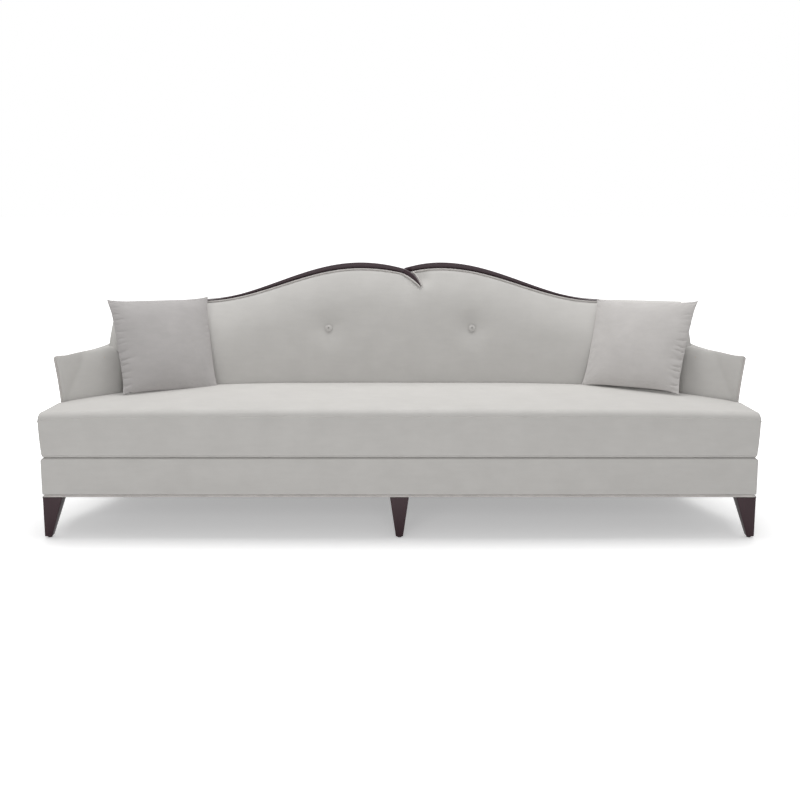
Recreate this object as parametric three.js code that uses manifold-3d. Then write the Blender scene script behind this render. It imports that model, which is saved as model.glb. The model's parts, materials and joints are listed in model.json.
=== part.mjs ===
// Camelback sofa with a curved inside back, a loose bench cushion and two pillows.
// Millimetres, +Z up. X runs along the sofa, the front face of the cushion is at Y = 0
// and the back lies towards +Y. The last lines move the whole sofa onto its own centre.

import * as THREE from 'three';
import { mergeVertices } from 'three/addons/utils/BufferGeometryUtils.js';
import Module from 'manifold-3d';

const wasm = await Module();
wasm.setup();

// Overall sizes
const sofaWidth = 2640;
const seatDepth = 560;
const baseDepth = 700;
const peakHeight = 962;
const armHeight = 648;
const seatHeight = 470;
const clearance = 0.3;

// Base
const baseOverhang = 2;
const baseBottom = 157;
const baseTop = 306;
const coverThickness = 14;
const baseWeltWidth = 12;
const baseWeltHeight = 11;
const cornerRadius = 12;

// Legs and glides
const legTop = 62;
const legBottom = 30;
const centreLegTop = 70;
const legInset = 3;
const rearLegInset = 57;
const glideRadius = 8;
const glideHeight = 6;
const boltRadius = 4;
const boltLength = 46;
const boltInset = 9;

// Curves of the sofa seen from above
const armFrontDepth = 245;
const insideMargin = 6;
const insideHalfWidth = sofaWidth / 2 - insideMargin;
const insidePowerShare = 4.4;
const insideRoundShare = 1.2;
const rearDrawIn = 113;
const rearHalfWidth = sofaWidth / 2 - rearDrawIn;
const rearCornerDepth = 562;
const rearSag = 140;
const rearPowerShare = 2.4;
const rearRakeShare = 0.197;
const flareTop = 139;
const flareBottom = 111;
const flareTopPowerShare = 2.4;
const flareBottomPowerShare = 1.8;

// Camel outline of the back and its crest rails
const shoulderShare = 0.495;
const peakOffset = 172;
const humpRun = 705;
const notchOffset = 13;
const notchDip = 26;
const crestHeight = 24.5;
const crestNotchHeight = 19.5;
const crestRun = 680;
const crestTaperShare = 1.8;
const crestFallShare = 0.12;
const crestProud = 5;
const crestBevel = 4;
const crestEnd = 0.6;
const tailProud = 9;
const tailDepth = 13;
const tailBendOffset = 58;
const tailBendDrop = 57.5;
const tailTipOffset = 87.5;
const tailTipDrop = 96.5;
const tailTaperShare = 1.5;
const tailSwell = 2.6;
const tailRootShare = 0.03;
const tailApexShare = 0.52;

// Inside back
const leanCentre = 51;
const leanEnd = 149;
const rollDepth = 48;
const rollReach = 180;
const lumbarSwell = 16;
const padSeamInset = 89;
const backEndInset = 19;
const padSeam = rearHalfWidth - padSeamInset;
const backHalfWidth = rearHalfWidth - backEndInset;
const endRadius = 60;
const topRadius = 12;
const topWrap = 6;
const tuftOffset = 304;
const tuftHeight = 689;
const tuftDepth = 20;
const tuftSpread = 52;
const tuftCrowdShare = 1.25;
const buttonRadius = 13.5;
const buttonDome = 8;

// Arms
const armLeanShare = 0.28;
const armFrontDrop = 10;
const armCrown = 34;
const armShoulder = 12;
const armEdge = 6;
const armPanelDrop = 30;
const armCrowdShare = 1.6;
const armBaseShare = 3;

// Seat cushion
const cushionLift = 3;
const cushionThickness = seatHeight - baseTop + cushionLift;
const cushionFall = 9;
const cushionCrown = 12;
const cushionSwell = 4;
const cushionTopRadius = 24;
const cushionRollReach = 30;
const cushionFootRadius = 8;
const cushionEndRadius = 9;
const cushionEndLean = 9;
const cushionHeelShare = 1.5;
const cushionGap = 4;
const cushionCrownShare = 4;
const cushionMiddleShare = 0.34;
const cushionCrowdShare = 1.6;
const cushionEndShares = [0.35, 0.7, 0.92, 1];

// Pillows
const pillowSize = 396;
const pillowFrontSwell = 58;
const pillowBackSwell = 24;
const pillowFullShare = 2.4;
const pillowEdgeShare = 0.7;
const pillowSeam = 1.6;
const pillowDrawIn = 9;
const pillowInset = 357;
const pillowDepth = 460;
const pillowGap = 8;
const pillowTurn = THREE.MathUtils.degToRad(29);
const pillowLean = THREE.MathUtils.degToRad(25);
const pillowRoll = THREE.MathUtils.degToRad(1.3);

// Frame, springs and linings
const boardThickness = 28;
const burlapThickness = 1.5;
const burlapTack = 14;
const railBottom = 160;
const deckThickness = 10;
const postWidth = 58;
const stileOffset = 420;
const topBoardHeight = 118;
const lowerRailLow = 340;
const lowerRailHigh = 410;

const blockReach = 112;
const blockHeight = 56;
const armPostInset = 10;
const armPostStart = 385;
const armPostDepth = 30;
const armPostWidth = 26;
const armPostTop = 588;
const armRailHeight = 24;
const armRailReach = 581;
const armRailInset = 55;
const dustCoverThickness = 1.2;
const springRadius = 2;
const springPitch = 76;
const springSwing = 24;
const springInset = 142;
const springMargin = 12;
const tieRadius = 1.6;

// Welts
const weltRadius = 4;
const weltSides = 6;
const weltDrop = 5.4;
const weltSlack = 1.5;

// Finishes
const fabric = { color: 0xc9c6c1, roughness: 0.92, metalness: 0 };
const welting = { color: 0xbdbab5, roughness: 0.9, metalness: 0 };
const darkWood = { color: 0x43303a, roughness: 0.35, metalness: 0 };
const frameWood = { color: 0xc8a778, roughness: 0.75, metalness: 0 };
const springSteel = { color: 0x6d7074, roughness: 0.4, metalness: 1 };
const glidePlastic = { color: 0x1d1a1c, roughness: 0.5, metalness: 0 };
const liningCloth = { color: 0x2b2a2a, roughness: 0.95, metalness: 0 };
const burlap = { color: 0xb59b6c, roughness: 0.95, metalness: 0 };

const sofa = new THREE.Group();

// Adds one named piece to the sofa, or to the group it is given.
function addPiece(name, geometry, finish, parent = sofa) {
  const mesh = new THREE.Mesh(geometry, new THREE.MeshStandardMaterial(finish));
  mesh.name = name;
  parent.add(mesh);
  return mesh;
}

const mix = (a, b, t) => a + (b - a) * t;
const clamp = THREE.MathUtils.clamp;
const spot = (x, y, z) => new THREE.Vector3(x, y, z);

// Evenly spaced values from low to high, both ends included.
function spread(low, high, count) {
  return Array.from({ length: count + 1 }, (_, i) => mix(low, high, i / count));
}

// Values from low to high that crowd together towards low.
function crowded(low, high, count, powerShare) {
  return spread(0, 1, count).map((t) => mix(low, high, t ** powerShare));
}

// Solids

// Turns a closed geometry into a solid and back.
function toSolid(geometry) {
  const plain = geometry.clone();
  plain.deleteAttribute('normal');
  plain.deleteAttribute('uv');
  const merged = mergeVertices(plain);
  const mesh = new wasm.Mesh({
    numProp: 3,
    vertProperties: merged.attributes.position.array,
    triVerts: new Uint32Array(merged.index.array),
  });
  return new wasm.Manifold(mesh);
}

function toGeometry(solid) {
  const mesh = solid.getMesh();
  const geometry = new THREE.BufferGeometry();
  geometry.setAttribute('position', new THREE.BufferAttribute(mesh.vertProperties, mesh.numProp));
  geometry.setIndex(new THREE.BufferAttribute(mesh.triVerts, 1));
  return geometry;
}

// Cuts every tool away from a body.
function carve(body, tools) {
  return toGeometry(tools.reduce((solid, tool) => solid.subtract(toSolid(tool)), toSolid(body)));
}

// What two bodies share.
function shared(body, other) {
  return toGeometry(toSolid(body).intersect(toSolid(other)));
}

function joined(pieces) {
  return toGeometry(pieces.map(toSolid).reduce((solid, piece) => solid.add(piece)));
}

// Turns every face round when a skin was wound inside out.
function facingOut(geometry) {
  const place = geometry.attributes.position;
  const index = geometry.index.array;
  const [a, b, c] = [spot(), spot(), spot()];
  let volume = 0;
  for (let i = 0; i < index.length; i += 3) {
    a.fromBufferAttribute(place, index[i]);
    b.fromBufferAttribute(place, index[i + 1]);
    c.fromBufferAttribute(place, index[i + 2]);
    volume += a.dot(b.cross(c));
  }
  if (volume < 0) {
    for (let i = 0; i < index.length; i += 3) {
      [index[i + 1], index[i + 2]] = [index[i + 2], index[i + 1]];
    }
  }
  return geometry;
}

// The triangles that fill a flat ring of points.
function fillRing(ring) {
  const normal = spot();
  ring.forEach((point, i) => normal.add(point.clone().cross(ring[(i + 1) % ring.length])));
  const turn = new THREE.Quaternion().setFromUnitVectors(normal.normalize(), spot(0, 0, 1));
  const outline = ring.map((point) => point.clone().applyQuaternion(turn));
  return THREE.ShapeUtils.triangulateShape(outline.map(({ x, y }) => new THREE.Vector2(x, y)), []);
}

// A skin through closed rings of points, closed at both ends.
function loft(rings) {
  const size = rings[0].length;
  const faces = fillRing(rings[0]).flatMap(([a, b, c]) => [a, c, b]);
  const last = size * (rings.length - 1);
  faces.push(...fillRing(rings.at(-1)).flatMap((face) => face.map((i) => i + last)));
  for (let i = 0; i + 1 < rings.length; i += 1) {
    for (let j = 0; j < size; j += 1) {
      const a = i * size + j;
      const b = i * size + ((j + 1) % size);
      faces.push(a, b, b + size, a, b + size, a + size);
    }
  }
  const geometry = new THREE.BufferGeometry().setFromPoints(rings.flat());
  geometry.setIndex(faces);
  return facingOut(geometry);
}

// A mirrored copy for the other end of the sofa.
function mirrored(geometry) {
  const copy = geometry.clone().scale(-1, 1, 1);
  return facingOut(copy.index ? copy : mergeVertices(copy));
}

// A flat plate: an outline in plan, raised from one height to another.
function plate(outline, low, high) {
  const shape = new THREE.Shape(outline.map(([x, y]) => new THREE.Vector2(x, y)));
  const geometry = new THREE.ExtrudeGeometry(shape, { depth: high - low, bevelEnabled: false });
  return geometry.translate(0, 0, low);
}

// A box between two corners.
function block(low, high) {
  const size = high.map((value, axis) => value - low[axis]);
  const centre = high.map((value, axis) => (value + low[axis]) / 2);
  return new THREE.BoxGeometry(...size).translate(...centre);
}

// A round tube through points. Bend is 0 for straight runs between them.
function cord(points, radius, sides, steps, bendShare = 1 / 2) {
  const section = new THREE.Shape(
    spread(0, Math.PI * 2, sides)
      .slice(1)
      .map((turn) => new THREE.Vector2(radius * Math.cos(turn), radius * Math.sin(turn))),
  );
  const extrudePath = new THREE.CatmullRomCurve3(points, false, 'catmullrom', bendShare);
  return new THREE.ExtrudeGeometry(section, { steps, extrudePath, bevelEnabled: false });
}

// A closed line in plan moved inwards, with its corners kept sharp. Its inside is on the left.
function inset(line, distance) {
  const heading = (from, to) => new THREE.Vector2(to[0] - from[0], to[1] - from[1]).normalize();
  return line.map((point, i) => {
    const before = heading(line.at(i - 1), point);
    const after = heading(point, line[(i + 1) % line.length]);
    const along = before.clone().add(after).normalize();
    const reach = distance / along.dot(before);
    return [point[0] - along.y * reach, point[1] + along.x * reach];
  });
}

// Curves

// The line where the inside back and the arms meet the seat.
function insideLine(x) {
  const reach = clamp(Math.abs(x) / insideHalfWidth, 0, 1);
  return mix(armFrontDepth, seatDepth, (1 - reach ** insidePowerShare) ** insideRoundShare);
}

// How far out the inside line has got at a depth.
function insideReach(depth) {
  const rise = clamp((depth - armFrontDepth) / (seatDepth - armFrontDepth), 0, 1);
  return insideHalfWidth * (1 - rise ** (1 / insideRoundShare)) ** (1 / insidePowerShare);
}

// The rear face, curved in plan and raked above the base.
function rearFace(x, z) {
  const bend = rearSag * (Math.abs(x) / rearHalfWidth) ** rearPowerShare;
  return baseDepth - bend + rearRakeShare * (Math.max(z, baseTop) - baseTop);
}

// A place in front of the rear face, at a distance square to its curve in plan.
function beforeRear(x, z, distance) {
  const out = Math.abs(x) / rearHalfWidth;
  const slope = ((rearSag * rearPowerShare) / rearHalfWidth) * out ** (rearPowerShare - 1);
  return rearFace(x, z) - distance * Math.hypot(1, slope);
}

// The outer face of an arm and of the base below it.
function outerFace(depth, z) {
  const along = clamp((depth - armFrontDepth) / (rearCornerDepth - armFrontDepth), 0, 1);
  const rise = clamp((z - baseTop) / (armHeight - baseTop), 0, 1);
  const flare = mix(flareBottom, flareTop, rise ** 2);
  const powerShare = mix(flareBottomPowerShare, flareTopPowerShare, rise);
  return rearHalfWidth + flare * (1 - along) ** powerShare;
}

// The camel outline: two humps that meet in a notch.
function crest(x) {
  const out = Math.abs(x);
  if (out >= peakOffset) {
    const turn = Math.min((out - peakOffset) / humpRun, 1) * Math.PI;
    return mix(mix(armHeight, peakHeight, shoulderShare), peakHeight, (1 + Math.cos(turn)) / 2);
  }
  const left = x < notchOffset;
  const run = left ? peakOffset + notchOffset : peakOffset - notchOffset;
  const gone = left ? x + peakOffset : peakOffset - x;
  return peakHeight - notchDip * (gone / run) ** 2;
}

const crestReach = peakOffset + crestRun;

// The height of a crest rail, which is a little less at the notch than at the humps, and
// thins out to an edge at the shoulders.
function crestFace(x) {
  if (Math.abs(x) > crestReach) {
    return 0;
  }
  const beyond = Math.abs(x) - peakOffset;
  const along = beyond < 0 ? -beyond / peakOffset : beyond / crestRun;
  return mix(crestHeight, beyond < 0 ? crestNotchHeight : crestEnd, along ** crestTaperShare);
}

const padTop = (x) => crest(x) - crestFace(x) - clearance;

// The face of the inside back, without its tufts.
function insideFace(x, z) {
  const out = Math.abs(x);
  const above = Math.max(z - seatHeight, 0);
  const reach = mix(leanCentre, leanEnd, (out / backHalfWidth) ** 3);
  const leant = above * (rearRakeShare + reach / (peakHeight - seatHeight));
  const swell = lumbarSwell * Math.sin(clamp(above / (crest(x) - seatHeight), 0, 1) * Math.PI);
  const rolled = rollDepth * clamp((z - crest(x) + rollReach) / rollReach, 0, 1) ** 2;
  const end = clamp((out - (backHalfWidth - endRadius)) / endRadius, 0, 1);
  return insideLine(x) + leant - swell + rolled + endRadius * (1 - Math.sqrt(1 - end ** 2));
}

// The dimple that a button pulls into the back.
function tuft(x, z) {
  const distance = Math.hypot(Math.abs(x) - tuftOffset, z - tuftHeight);
  return tuftDepth * Math.exp(-((distance / tuftSpread) ** 2));
}

// Base

const sideSteps = 7;
const rearSteps = 14;
const baseHalfWidth = sofaWidth / 2 - baseOverhang;
const flipped = (line) => line.map(([x, y]) => [-x, y]).reverse();

// The outline of the base in plan, with its front corners taken off or left sharp.
function baseOutline(corner) {
  const side = [
    ...corner,
    ...spread(armFrontDepth, rearCornerDepth, sideSteps).map((y) => [outerFace(y, 0), y]),
  ];
  const rear = spread(rearHalfWidth, -rearHalfWidth, rearSteps).map((x) => [x, rearFace(x, 0)]);
  return [...side, ...rear.slice(1, -1), ...flipped(side)];
}

const softCorner = [[baseHalfWidth - cornerRadius, 0], [baseHalfWidth, cornerRadius]];

// The outline moved inwards all round.
function insetOutline(distance) {
  return distance ? inset(baseOutline([[baseHalfWidth, 0]]), distance) : baseOutline(softCorner);
}

// The four walls of the base between two insets: front, right, left and rear.
function baseWalls(outer, inner, low, high) {
  const ring = carve(plate(insetOutline(outer), low, high), [plate(insetOutline(inner), 0, peakHeight)]);
  const seam = rearHalfWidth - inner;
  const frontSeam = inner + clearance;
  const front = block([-sofaWidth, 0, 0], [sofaWidth, inner, peakHeight]);
  const side = block([seam, frontSeam, 0], [sofaWidth, baseDepth, peakHeight]);
  const rear = block(
    [-(seam - clearance), armFrontDepth, 0],
    [seam - clearance, baseDepth + coverThickness, peakHeight],
  );
  const right = shared(ring, side);
  return { front: shared(ring, front), right, left: mirrored(right), rear: shared(ring, rear) };
}

const coverBottom = baseBottom + baseWeltHeight + clearance;
const coverTop = baseTop - clearance;
const railOuter = coverThickness + clearance;
const railInner = railOuter + boardThickness;

const covers = baseWalls(0, coverThickness, coverBottom, coverTop);
for (const [side, geometry] of Object.entries(covers)) {
  addPiece(`base_cover_${side}`, geometry, fabric);
}

const rails = baseWalls(railOuter, railInner, railBottom, coverTop);
for (const [side, geometry] of Object.entries(rails)) {
  addPiece(`seat_rail_${side}`, geometry, frameWood);
}

const weltInner = plate(insetOutline(baseWeltWidth), 0, peakHeight);
const baseWelt = plate(insetOutline(0), baseBottom, baseBottom + baseWeltHeight);
addPiece('base_welt', carve(baseWelt, [weltInner]), welting);

// Legs

// A square leg: out tells which faces stay upright, 1 or -1 on an axis, 0 for a centred taper.
function makeLeg(name, corner, out, top) {
  const square = (size, z) =>
    [[0, 0], [1, 0], [1, 1], [0, 1]].map(([i, j]) => {
      const x = corner[0] + (i - (1 + out[0]) / 2) * size;
      const y = corner[1] + (j - (1 + out[1]) / 2) * size;
      return spot(x, y, z);
    });
  const legLid = baseBottom - clearance;
  const taper = loft([square(legBottom, glideHeight), square(top, legLid)]);
  const boltPlace = corner.map((value, axis) => value - out[axis] * (top - boltInset));
  const bolt = (grow) => {
    const height = boltLength + boltInset;
    const rod = new THREE.CylinderGeometry(boltRadius + grow, boltRadius + grow, height, 8);
    return rod.rotateX(Math.PI / 2).translate(...boltPlace, legLid - boltInset + height / 2);
  };
  addPiece(`leg_${name}`, joined([taper, bolt(0)]), darkWood);
  const foot = corner.map((value, axis) => value - (out[axis] * legBottom) / 2);
  const glide = new THREE.CylinderGeometry(glideRadius, glideRadius, glideHeight - clearance, 12);
  addPiece(
    `glide_${name}`,
    glide.rotateX(Math.PI / 2).translate(...foot, (glideHeight - clearance) / 2),
    glidePlastic,
  );
  return bolt(clearance);
}

const frontLegX = baseHalfWidth - legInset;
const rearLegOffset = rearHalfWidth - rearLegInset;
const rearLegY = rearFace(rearLegOffset, 0) - legInset;
const bolts = [
  makeLeg('front_left', [-frontLegX, legInset], [-1, -1], legTop),
  makeLeg('front_centre', [0, legInset], [0, -1], centreLegTop),
  makeLeg('front_right', [frontLegX, legInset], [1, -1], legTop),
  makeLeg('rear_left', [-rearLegOffset, rearLegY], [-1, 1], legTop),
  makeLeg('rear_centre', [0, baseDepth - legInset], [0, 1], centreLegTop),
  makeLeg('rear_right', [rearLegOffset, rearLegY], [1, 1], legTop),
];

// Seat frame

const deckBottom = coverTop - deckThickness;
const springPlane = deckBottom - clearance - springRadius;
const crossRailTop = springPlane - springRadius - clearance;
const insideRails = insetOutline(railInner + clearance);

const crossRails = { left: -sofaWidth / 4, centre: 0, right: sofaWidth / 4 };
for (const [place, x] of Object.entries(crossRails)) {
  const near = [x - boardThickness / 2, railInner + clearance, railBottom];
  const far = [x + boardThickness / 2, baseDepth, crossRailTop];
  const rail = shared(block(near, far), plate(insideRails, 0, peakHeight));
  addPiece(`cross_rail_${place}`, carve(rail, bolts), frameWood);
}

// A solid block in one corner of the rails, bored for the bolt of its leg.
function cornerBlock(near, far) {
  const filled = plate(insideRails, railBottom, railBottom + blockHeight);
  const reach = block([...near, 0], [...far, peakHeight]);
  return carve(shared(filled, reach), bolts);
}

const frontBlock = cornerBlock(
  [baseHalfWidth - railInner - blockReach, 0],
  [baseHalfWidth, railInner + blockReach],
);
const rearBlock = cornerBlock(
  [rearHalfWidth - railInner - blockReach, rearLegY - legTop - boltInset],
  [rearHalfWidth, baseDepth],
);
addPiece('corner_block_front_right', frontBlock, frameWood);
addPiece('corner_block_front_left', mirrored(frontBlock), frameWood);
addPiece('corner_block_rear_right', rearBlock, frameWood);
addPiece('corner_block_rear_left', mirrored(rearBlock), frameWood);

addPiece('seat_deck', plate(insideRails, deckBottom, coverTop), liningCloth);

const dustBottom = baseBottom + clearance;
const dustPlan = insetOutline(baseWeltWidth + clearance);
const dustCover = plate(dustPlan, dustBottom, dustBottom + dustCoverThickness);
addPiece('dust_cover', carve(dustCover, bolts), liningCloth);

// Zigzag springs from the front rail to the rear one, held in step by two tie wires.
function seatSprings() {
  const front = railInner + springMargin;
  const outermost = rearHalfWidth - springInset;
  const places = spread(-outermost, outermost, 6);
  const wires = places.map((x) => {
    const rear = rearFace(Math.abs(x) + springSwing, 0) - railInner - springMargin;
    const turns = Math.floor((rear - front) / springPitch) * 2;
    const points = spread(front, rear, turns * 2).map((y, i) => {
      const swing = [0, 1, 0, -1][i % 4] * springSwing;
      return spot(x + swing, y, springPlane);
    });
    return cord(points, springRadius, 4, turns * 4);
  });
  const reach = outermost + springSwing;
  const ties = [1, 2].map((third) => {
    const y = mix(front, rearFace(reach, 0) - railInner, third / 3);
    return cord([spot(-reach, y, springPlane), spot(reach, y, springPlane)], tieRadius, 4, 1);
  });
  return joined([...wires, ...ties]);
}
addPiece('seat_springs', seatSprings(), springSteel);

// Back frame

const boardBack = coverThickness + clearance;
const boardFront = boardBack + boardThickness;
const postEnd = padSeam + clearance + postWidth;
const outsideBackReach = rearHalfWidth - boardBack;

// The places along the back where all its layers have a section. They crowd at the tufts.
const outwards = [
  ...crowded(tuftOffset, notchOffset, 8, tuftCrowdShare).reverse(),
  ...crowded(tuftOffset, crestReach, 10, tuftCrowdShare).slice(1),
  crestReach + clearance,
  ...spread(crestReach, padSeam, 4).slice(1),
  padSeam + clearance,
  mix(padSeam + clearance, postEnd, 1 / 2),
  postEnd,
  postEnd + clearance,
  backHalfWidth,
  outsideBackReach,
];
const backPlaces = [...outwards.map((x) => -x).reverse(), 0, ...outwards];
const placesWithin = (low, high) => backPlaces.filter((x) => x >= low && x <= high);

// A layer of the back that follows the rear face at a distance in front of it.
function backLayer(places, low, high, front, back) {
  return loft(
    places.map((x) =>
      [[low(x), front], [low(x), back], [high(x), back], [high(x), front]].map(([z, offset]) =>
        spot(x, beforeRear(x, z, offset), z),
      ),
    ),
  );
}

const boardTop = (x) => padTop(x) - topWrap - clearance;
const boardUnder = (x) => boardTop(x) - topBoardHeight;
const onBase = () => baseTop;

function backPost(inner, outer, grow) {
  return backLayer(
    spread(inner - grow, outer + grow, 2),
    () => baseTop - grow,
    (x) => boardUnder(x) - clearance + grow,
    boardFront + grow,
    boardBack - grow,
  );
}

const topBoard = (grow) =>
  backLayer(
    placesWithin(-postEnd - grow, postEnd + grow),
    (x) => boardUnder(x) - grow,
    (x) => boardTop(x) + grow,
    boardFront + grow,
    boardBack - grow,
  );

const endPost = (grow) => backPost(postEnd - postWidth, postEnd, grow);
const stile = backPost(stileOffset - postWidth / 2, stileOffset + postWidth / 2, 0);
addPiece('back_post_right', endPost(0), frameWood);
addPiece('back_post_left', mirrored(endPost(0)), frameWood);
addPiece('back_stile_right', stile, frameWood);
addPiece('back_stile_left', mirrored(stile), frameWood);
addPiece('back_top_board', topBoard(0), frameWood);

const lowerRailReach = stileOffset - postWidth / 2 - clearance;
const lowerRail = backLayer(
  [-lowerRailReach, ...placesWithin(-lowerRailReach, lowerRailReach), lowerRailReach],
  () => lowerRailLow,
  () => lowerRailHigh,
  boardFront,
  boardBack,
);
addPiece('back_lower_rail', lowerRail, frameWood);

const burlapBack = boardFront + clearance;
const burlapReach = padSeam - postWidth;
const burlapFront = burlapBack + burlapThickness;
const burlapSheet = backLayer(
  placesWithin(-burlapReach, burlapReach),
  onBase,
  (x) => boardTop(x) - burlapTack,
  burlapFront,
  burlapBack,
);
addPiece('back_burlap', burlapSheet, burlap);

const outsideBack = backLayer(backPlaces, onBase, padTop, coverThickness, 0);

// Inside back

const padRear = burlapFront + clearance;

// One upright section of the inside back at a place along the sofa.
function backSection(x) {
  const out = Math.abs(x);
  const low = out > padSeam ? armHeight + clearance : baseTop;
  const rear = out > postEnd ? boardBack : padRear;
  const top = padTop(x);
  const rows = [
    ...crowded(tuftHeight, low, 6, tuftCrowdShare).reverse(),
    ...crowded(tuftHeight, top - topRadius, 5, tuftCrowdShare).slice(1),
  ];
  const face = rows.map((z) => spot(x, insideFace(x, z) + tuft(x, z), z));
  const under = top - topWrap;
  return [
    ...face,
    spot(x, insideFace(x, top) + topRadius, top),
    spot(x, beforeRear(x, top, boardBack), top),
    spot(x, beforeRear(x, under, boardBack), under),
    spot(x, beforeRear(x, under, rear), under),
    spot(x, beforeRear(x, low, rear), low),
  ];
}

function backPad() {
  return loft(placesWithin(-backHalfWidth, backHalfWidth).map(backSection));
}

// Crest rails

// A place on a crest rail's run: its middle seen from the front, half its height, the slope
// of the run, and how far its front stands proud of the inside back.
function capPlace(x, proud, slopeShare) {
  const half = crestFace(x) / 2;
  const step = notchOffset;
  const slope = slopeShare * Math.atan((crest(x) - crest(x - step)) / step);
  const z = crest(x) - half;
  const front = insideFace(x, z) - proud;
  return { x, z, half, slope, front, rear: rearFace(x, z) };
}

// The section across a crest rail at such a place, with bevelled edges.
function crestSection({ x, z, half, slope, front, rear }, grow) {
  const tall = half + grow;
  const bevel = Math.min(crestBevel, tall / 2);
  const near = front - grow;
  const far = rear + grow;
  const fall = Math.min((far - near) * crestFallShare, tall);
  const profile = [
    [near + bevel / 2, -tall],
    [near, -tall + bevel / 2],
    [near, tall - bevel],
    [near + bevel, tall],
    [far - bevel / 2, tall - fall],
    [far, tall - fall - bevel / 2],
    [far, -tall],
  ];
  return profile.map(([depth, height]) =>
    spot(x - Math.sin(slope) * height, depth, z + Math.cos(slope) * height),
  );
}

const tail = new THREE.QuadraticBezierCurve(
  new THREE.Vector2(notchOffset, crest(notchOffset) - crestNotchHeight / 2),
  new THREE.Vector2(tailBendOffset, peakHeight - tailBendDrop),
  new THREE.Vector2(tailTipOffset, peakHeight - tailTipDrop),
);

// A place on the tail of the left rail, which thins as it runs down over the inside back.
function tailPlace(t, grow) {
  const run = tail.getTangent(t);
  const swell = tailSwell * Math.sin(t * Math.PI);
  const upwards = new THREE.Vector2(-run.y, run.x);
  const middle = tail.getPoint(t).addScaledVector(run, grow).addScaledVector(upwards, swell);
  const half = swell + mix(crestNotchHeight, crestEnd, t ** tailTaperShare) / 2;
  const front = insideFace(middle.x, middle.y) - tailProud;
  const slope = Math.atan2(run.y, run.x);
  return { x: middle.x, z: middle.y, half, slope, front, rear: front + tailDepth };
}

// The left rail caps the left hump as far as the notch, and then becomes the tail.
function leftRail(grow) {
  const caps = placesWithin(-crestReach, notchOffset).map((x) => {
    const near = clamp((x + peakOffset) / (notchOffset + peakOffset), 0, 1);
    return capPlace(x, mix(crestProud, tailProud, near), near);
  });
  caps[0].x -= grow;
  caps.at(-1).x += grow;
  const tails = spread(tailRootShare, 1, 9).map((t) => tailPlace(t, grow));
  return loft([...caps, ...tails].map((place) => crestSection(place, grow)));
}

const rightRail = loft(
  placesWithin(notchOffset, crestReach).map((x) => crestSection(capPlace(x, crestProud, 0), 0)),
);

addPiece('crest_rail_left', leftRail(0), darkWood);
addPiece('crest_rail_right', carve(rightRail, [leftRail(clearance)]), darkWood);
addPiece('outside_back', carve(outsideBack, [leftRail(clearance)]), fabric);

// The welt that lies against a rail at a place, on its lower side (-1) or its upper side (1).
// Its cord nests in the rounded top of the inside back, or lies on the face further down.
function beside({ x, z, half, slope }, side) {
  const room = weltRadius + weltSlack;
  const away = side * (half + (side > 0 ? room : weltDrop));
  const across = x - Math.sin(slope) * away;
  const height = z + Math.cos(slope) * away;
  const top = padTop(across);
  const brow = top - topRadius;
  const browDepth = insideFace(across, brow);
  const browSlope = (insideFace(across, top) + topRadius - browDepth) / topRadius;
  const nested = browDepth + (height - brow) * browSlope - room * Math.hypot(1, browSlope);
  const faceDepth = insideFace(across, height);
  const faceSlope = (faceDepth - insideFace(across, height - room)) / room;
  return spot(across, Math.max(nested, faceDepth - room * Math.hypot(1, faceSlope)), height);
}

const weltEnd = crestReach - crestHeight;
const leftWelt = [
  ...placesWithin(-weltEnd, -notchOffset).map((x) => beside(capPlace(x, 0, 0), -1)),
  ...spread(tailRootShare, 1, 6).map((t) => beside(tailPlace(t, 0), -1)),
];
const rightWelt = [
  ...spread(1, tailApexShare, 4).map((t) => beside(tailPlace(t, 0), 1)),
  ...placesWithin(tailTipOffset, weltEnd).map((x) => beside(capPlace(x, 0, 0), -1)),
];
addPiece('crest_welt_left', cord(leftWelt, weltRadius, weltSides, 46, 0), welting);
addPiece('crest_welt_right', cord(rightWelt, weltRadius, weltSides, 46, 0), welting);

// Buttons

function buttonSeat(side) {
  const depth = insideFace(tuftOffset, tuftHeight) + tuftDepth;
  return [side * tuftOffset, depth, tuftHeight];
}

const buttonTurn = Math.PI / 2 + Math.atan(rearRakeShare + leanCentre / (peakHeight - seatHeight));

function button() {
  const profile = [
    [0, 0],
    [buttonRadius, 0],
    [buttonRadius, buttonDome / 4],
    [(buttonRadius * 3) / 4, (buttonDome * 3) / 4],
    [0, buttonDome],
  ];
  const points = profile.map(([x, y]) => new THREE.Vector2(x, y));
  return new THREE.LatheGeometry(points, 20);
}

for (const [name, side] of [['left', -1], ['right', 1]]) {
  const mesh = addPiece(`tuft_button_${name}`, button(), fabric);
  mesh.rotation.x = buttonTurn;
  mesh.position.set(...buttonSeat(side));
}

const buttonClearances = [-1, 1].map((side) => {
  const radius = buttonRadius + clearance * 2;
  const height = buttonDome * 4;
  const hole = new THREE.CylinderGeometry(radius, radius, height, 20);
  hole.translate(0, height / 2 - clearance, 0).rotateX(buttonTurn);
  return hole.translate(...buttonSeat(side));
});

addPiece('back_pad', carve(backPad(), [leftRail(clearance), ...buttonClearances]), fabric);

// Arms

const armInner = padSeam + clearance;
const panelTop = armHeight - armPanelDrop;
const weltChannel = weltRadius * 2 + clearance * 4;
const armDepths = crowded(armFrontDepth, baseDepth, 18, armCrowdShare);
const armLevels = spread(baseTop, panelTop, 4);

// The inner face of an arm, which leans back as it rises.
function armInside(depth, z) {
  const lean = armLeanShare * Math.max(z - seatHeight, 0);
  const out = Math.max(insideReach(depth - lean), armInner);
  return Math.min(out, outerFace(depth, z) - coverThickness - armEdge);
}

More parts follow.
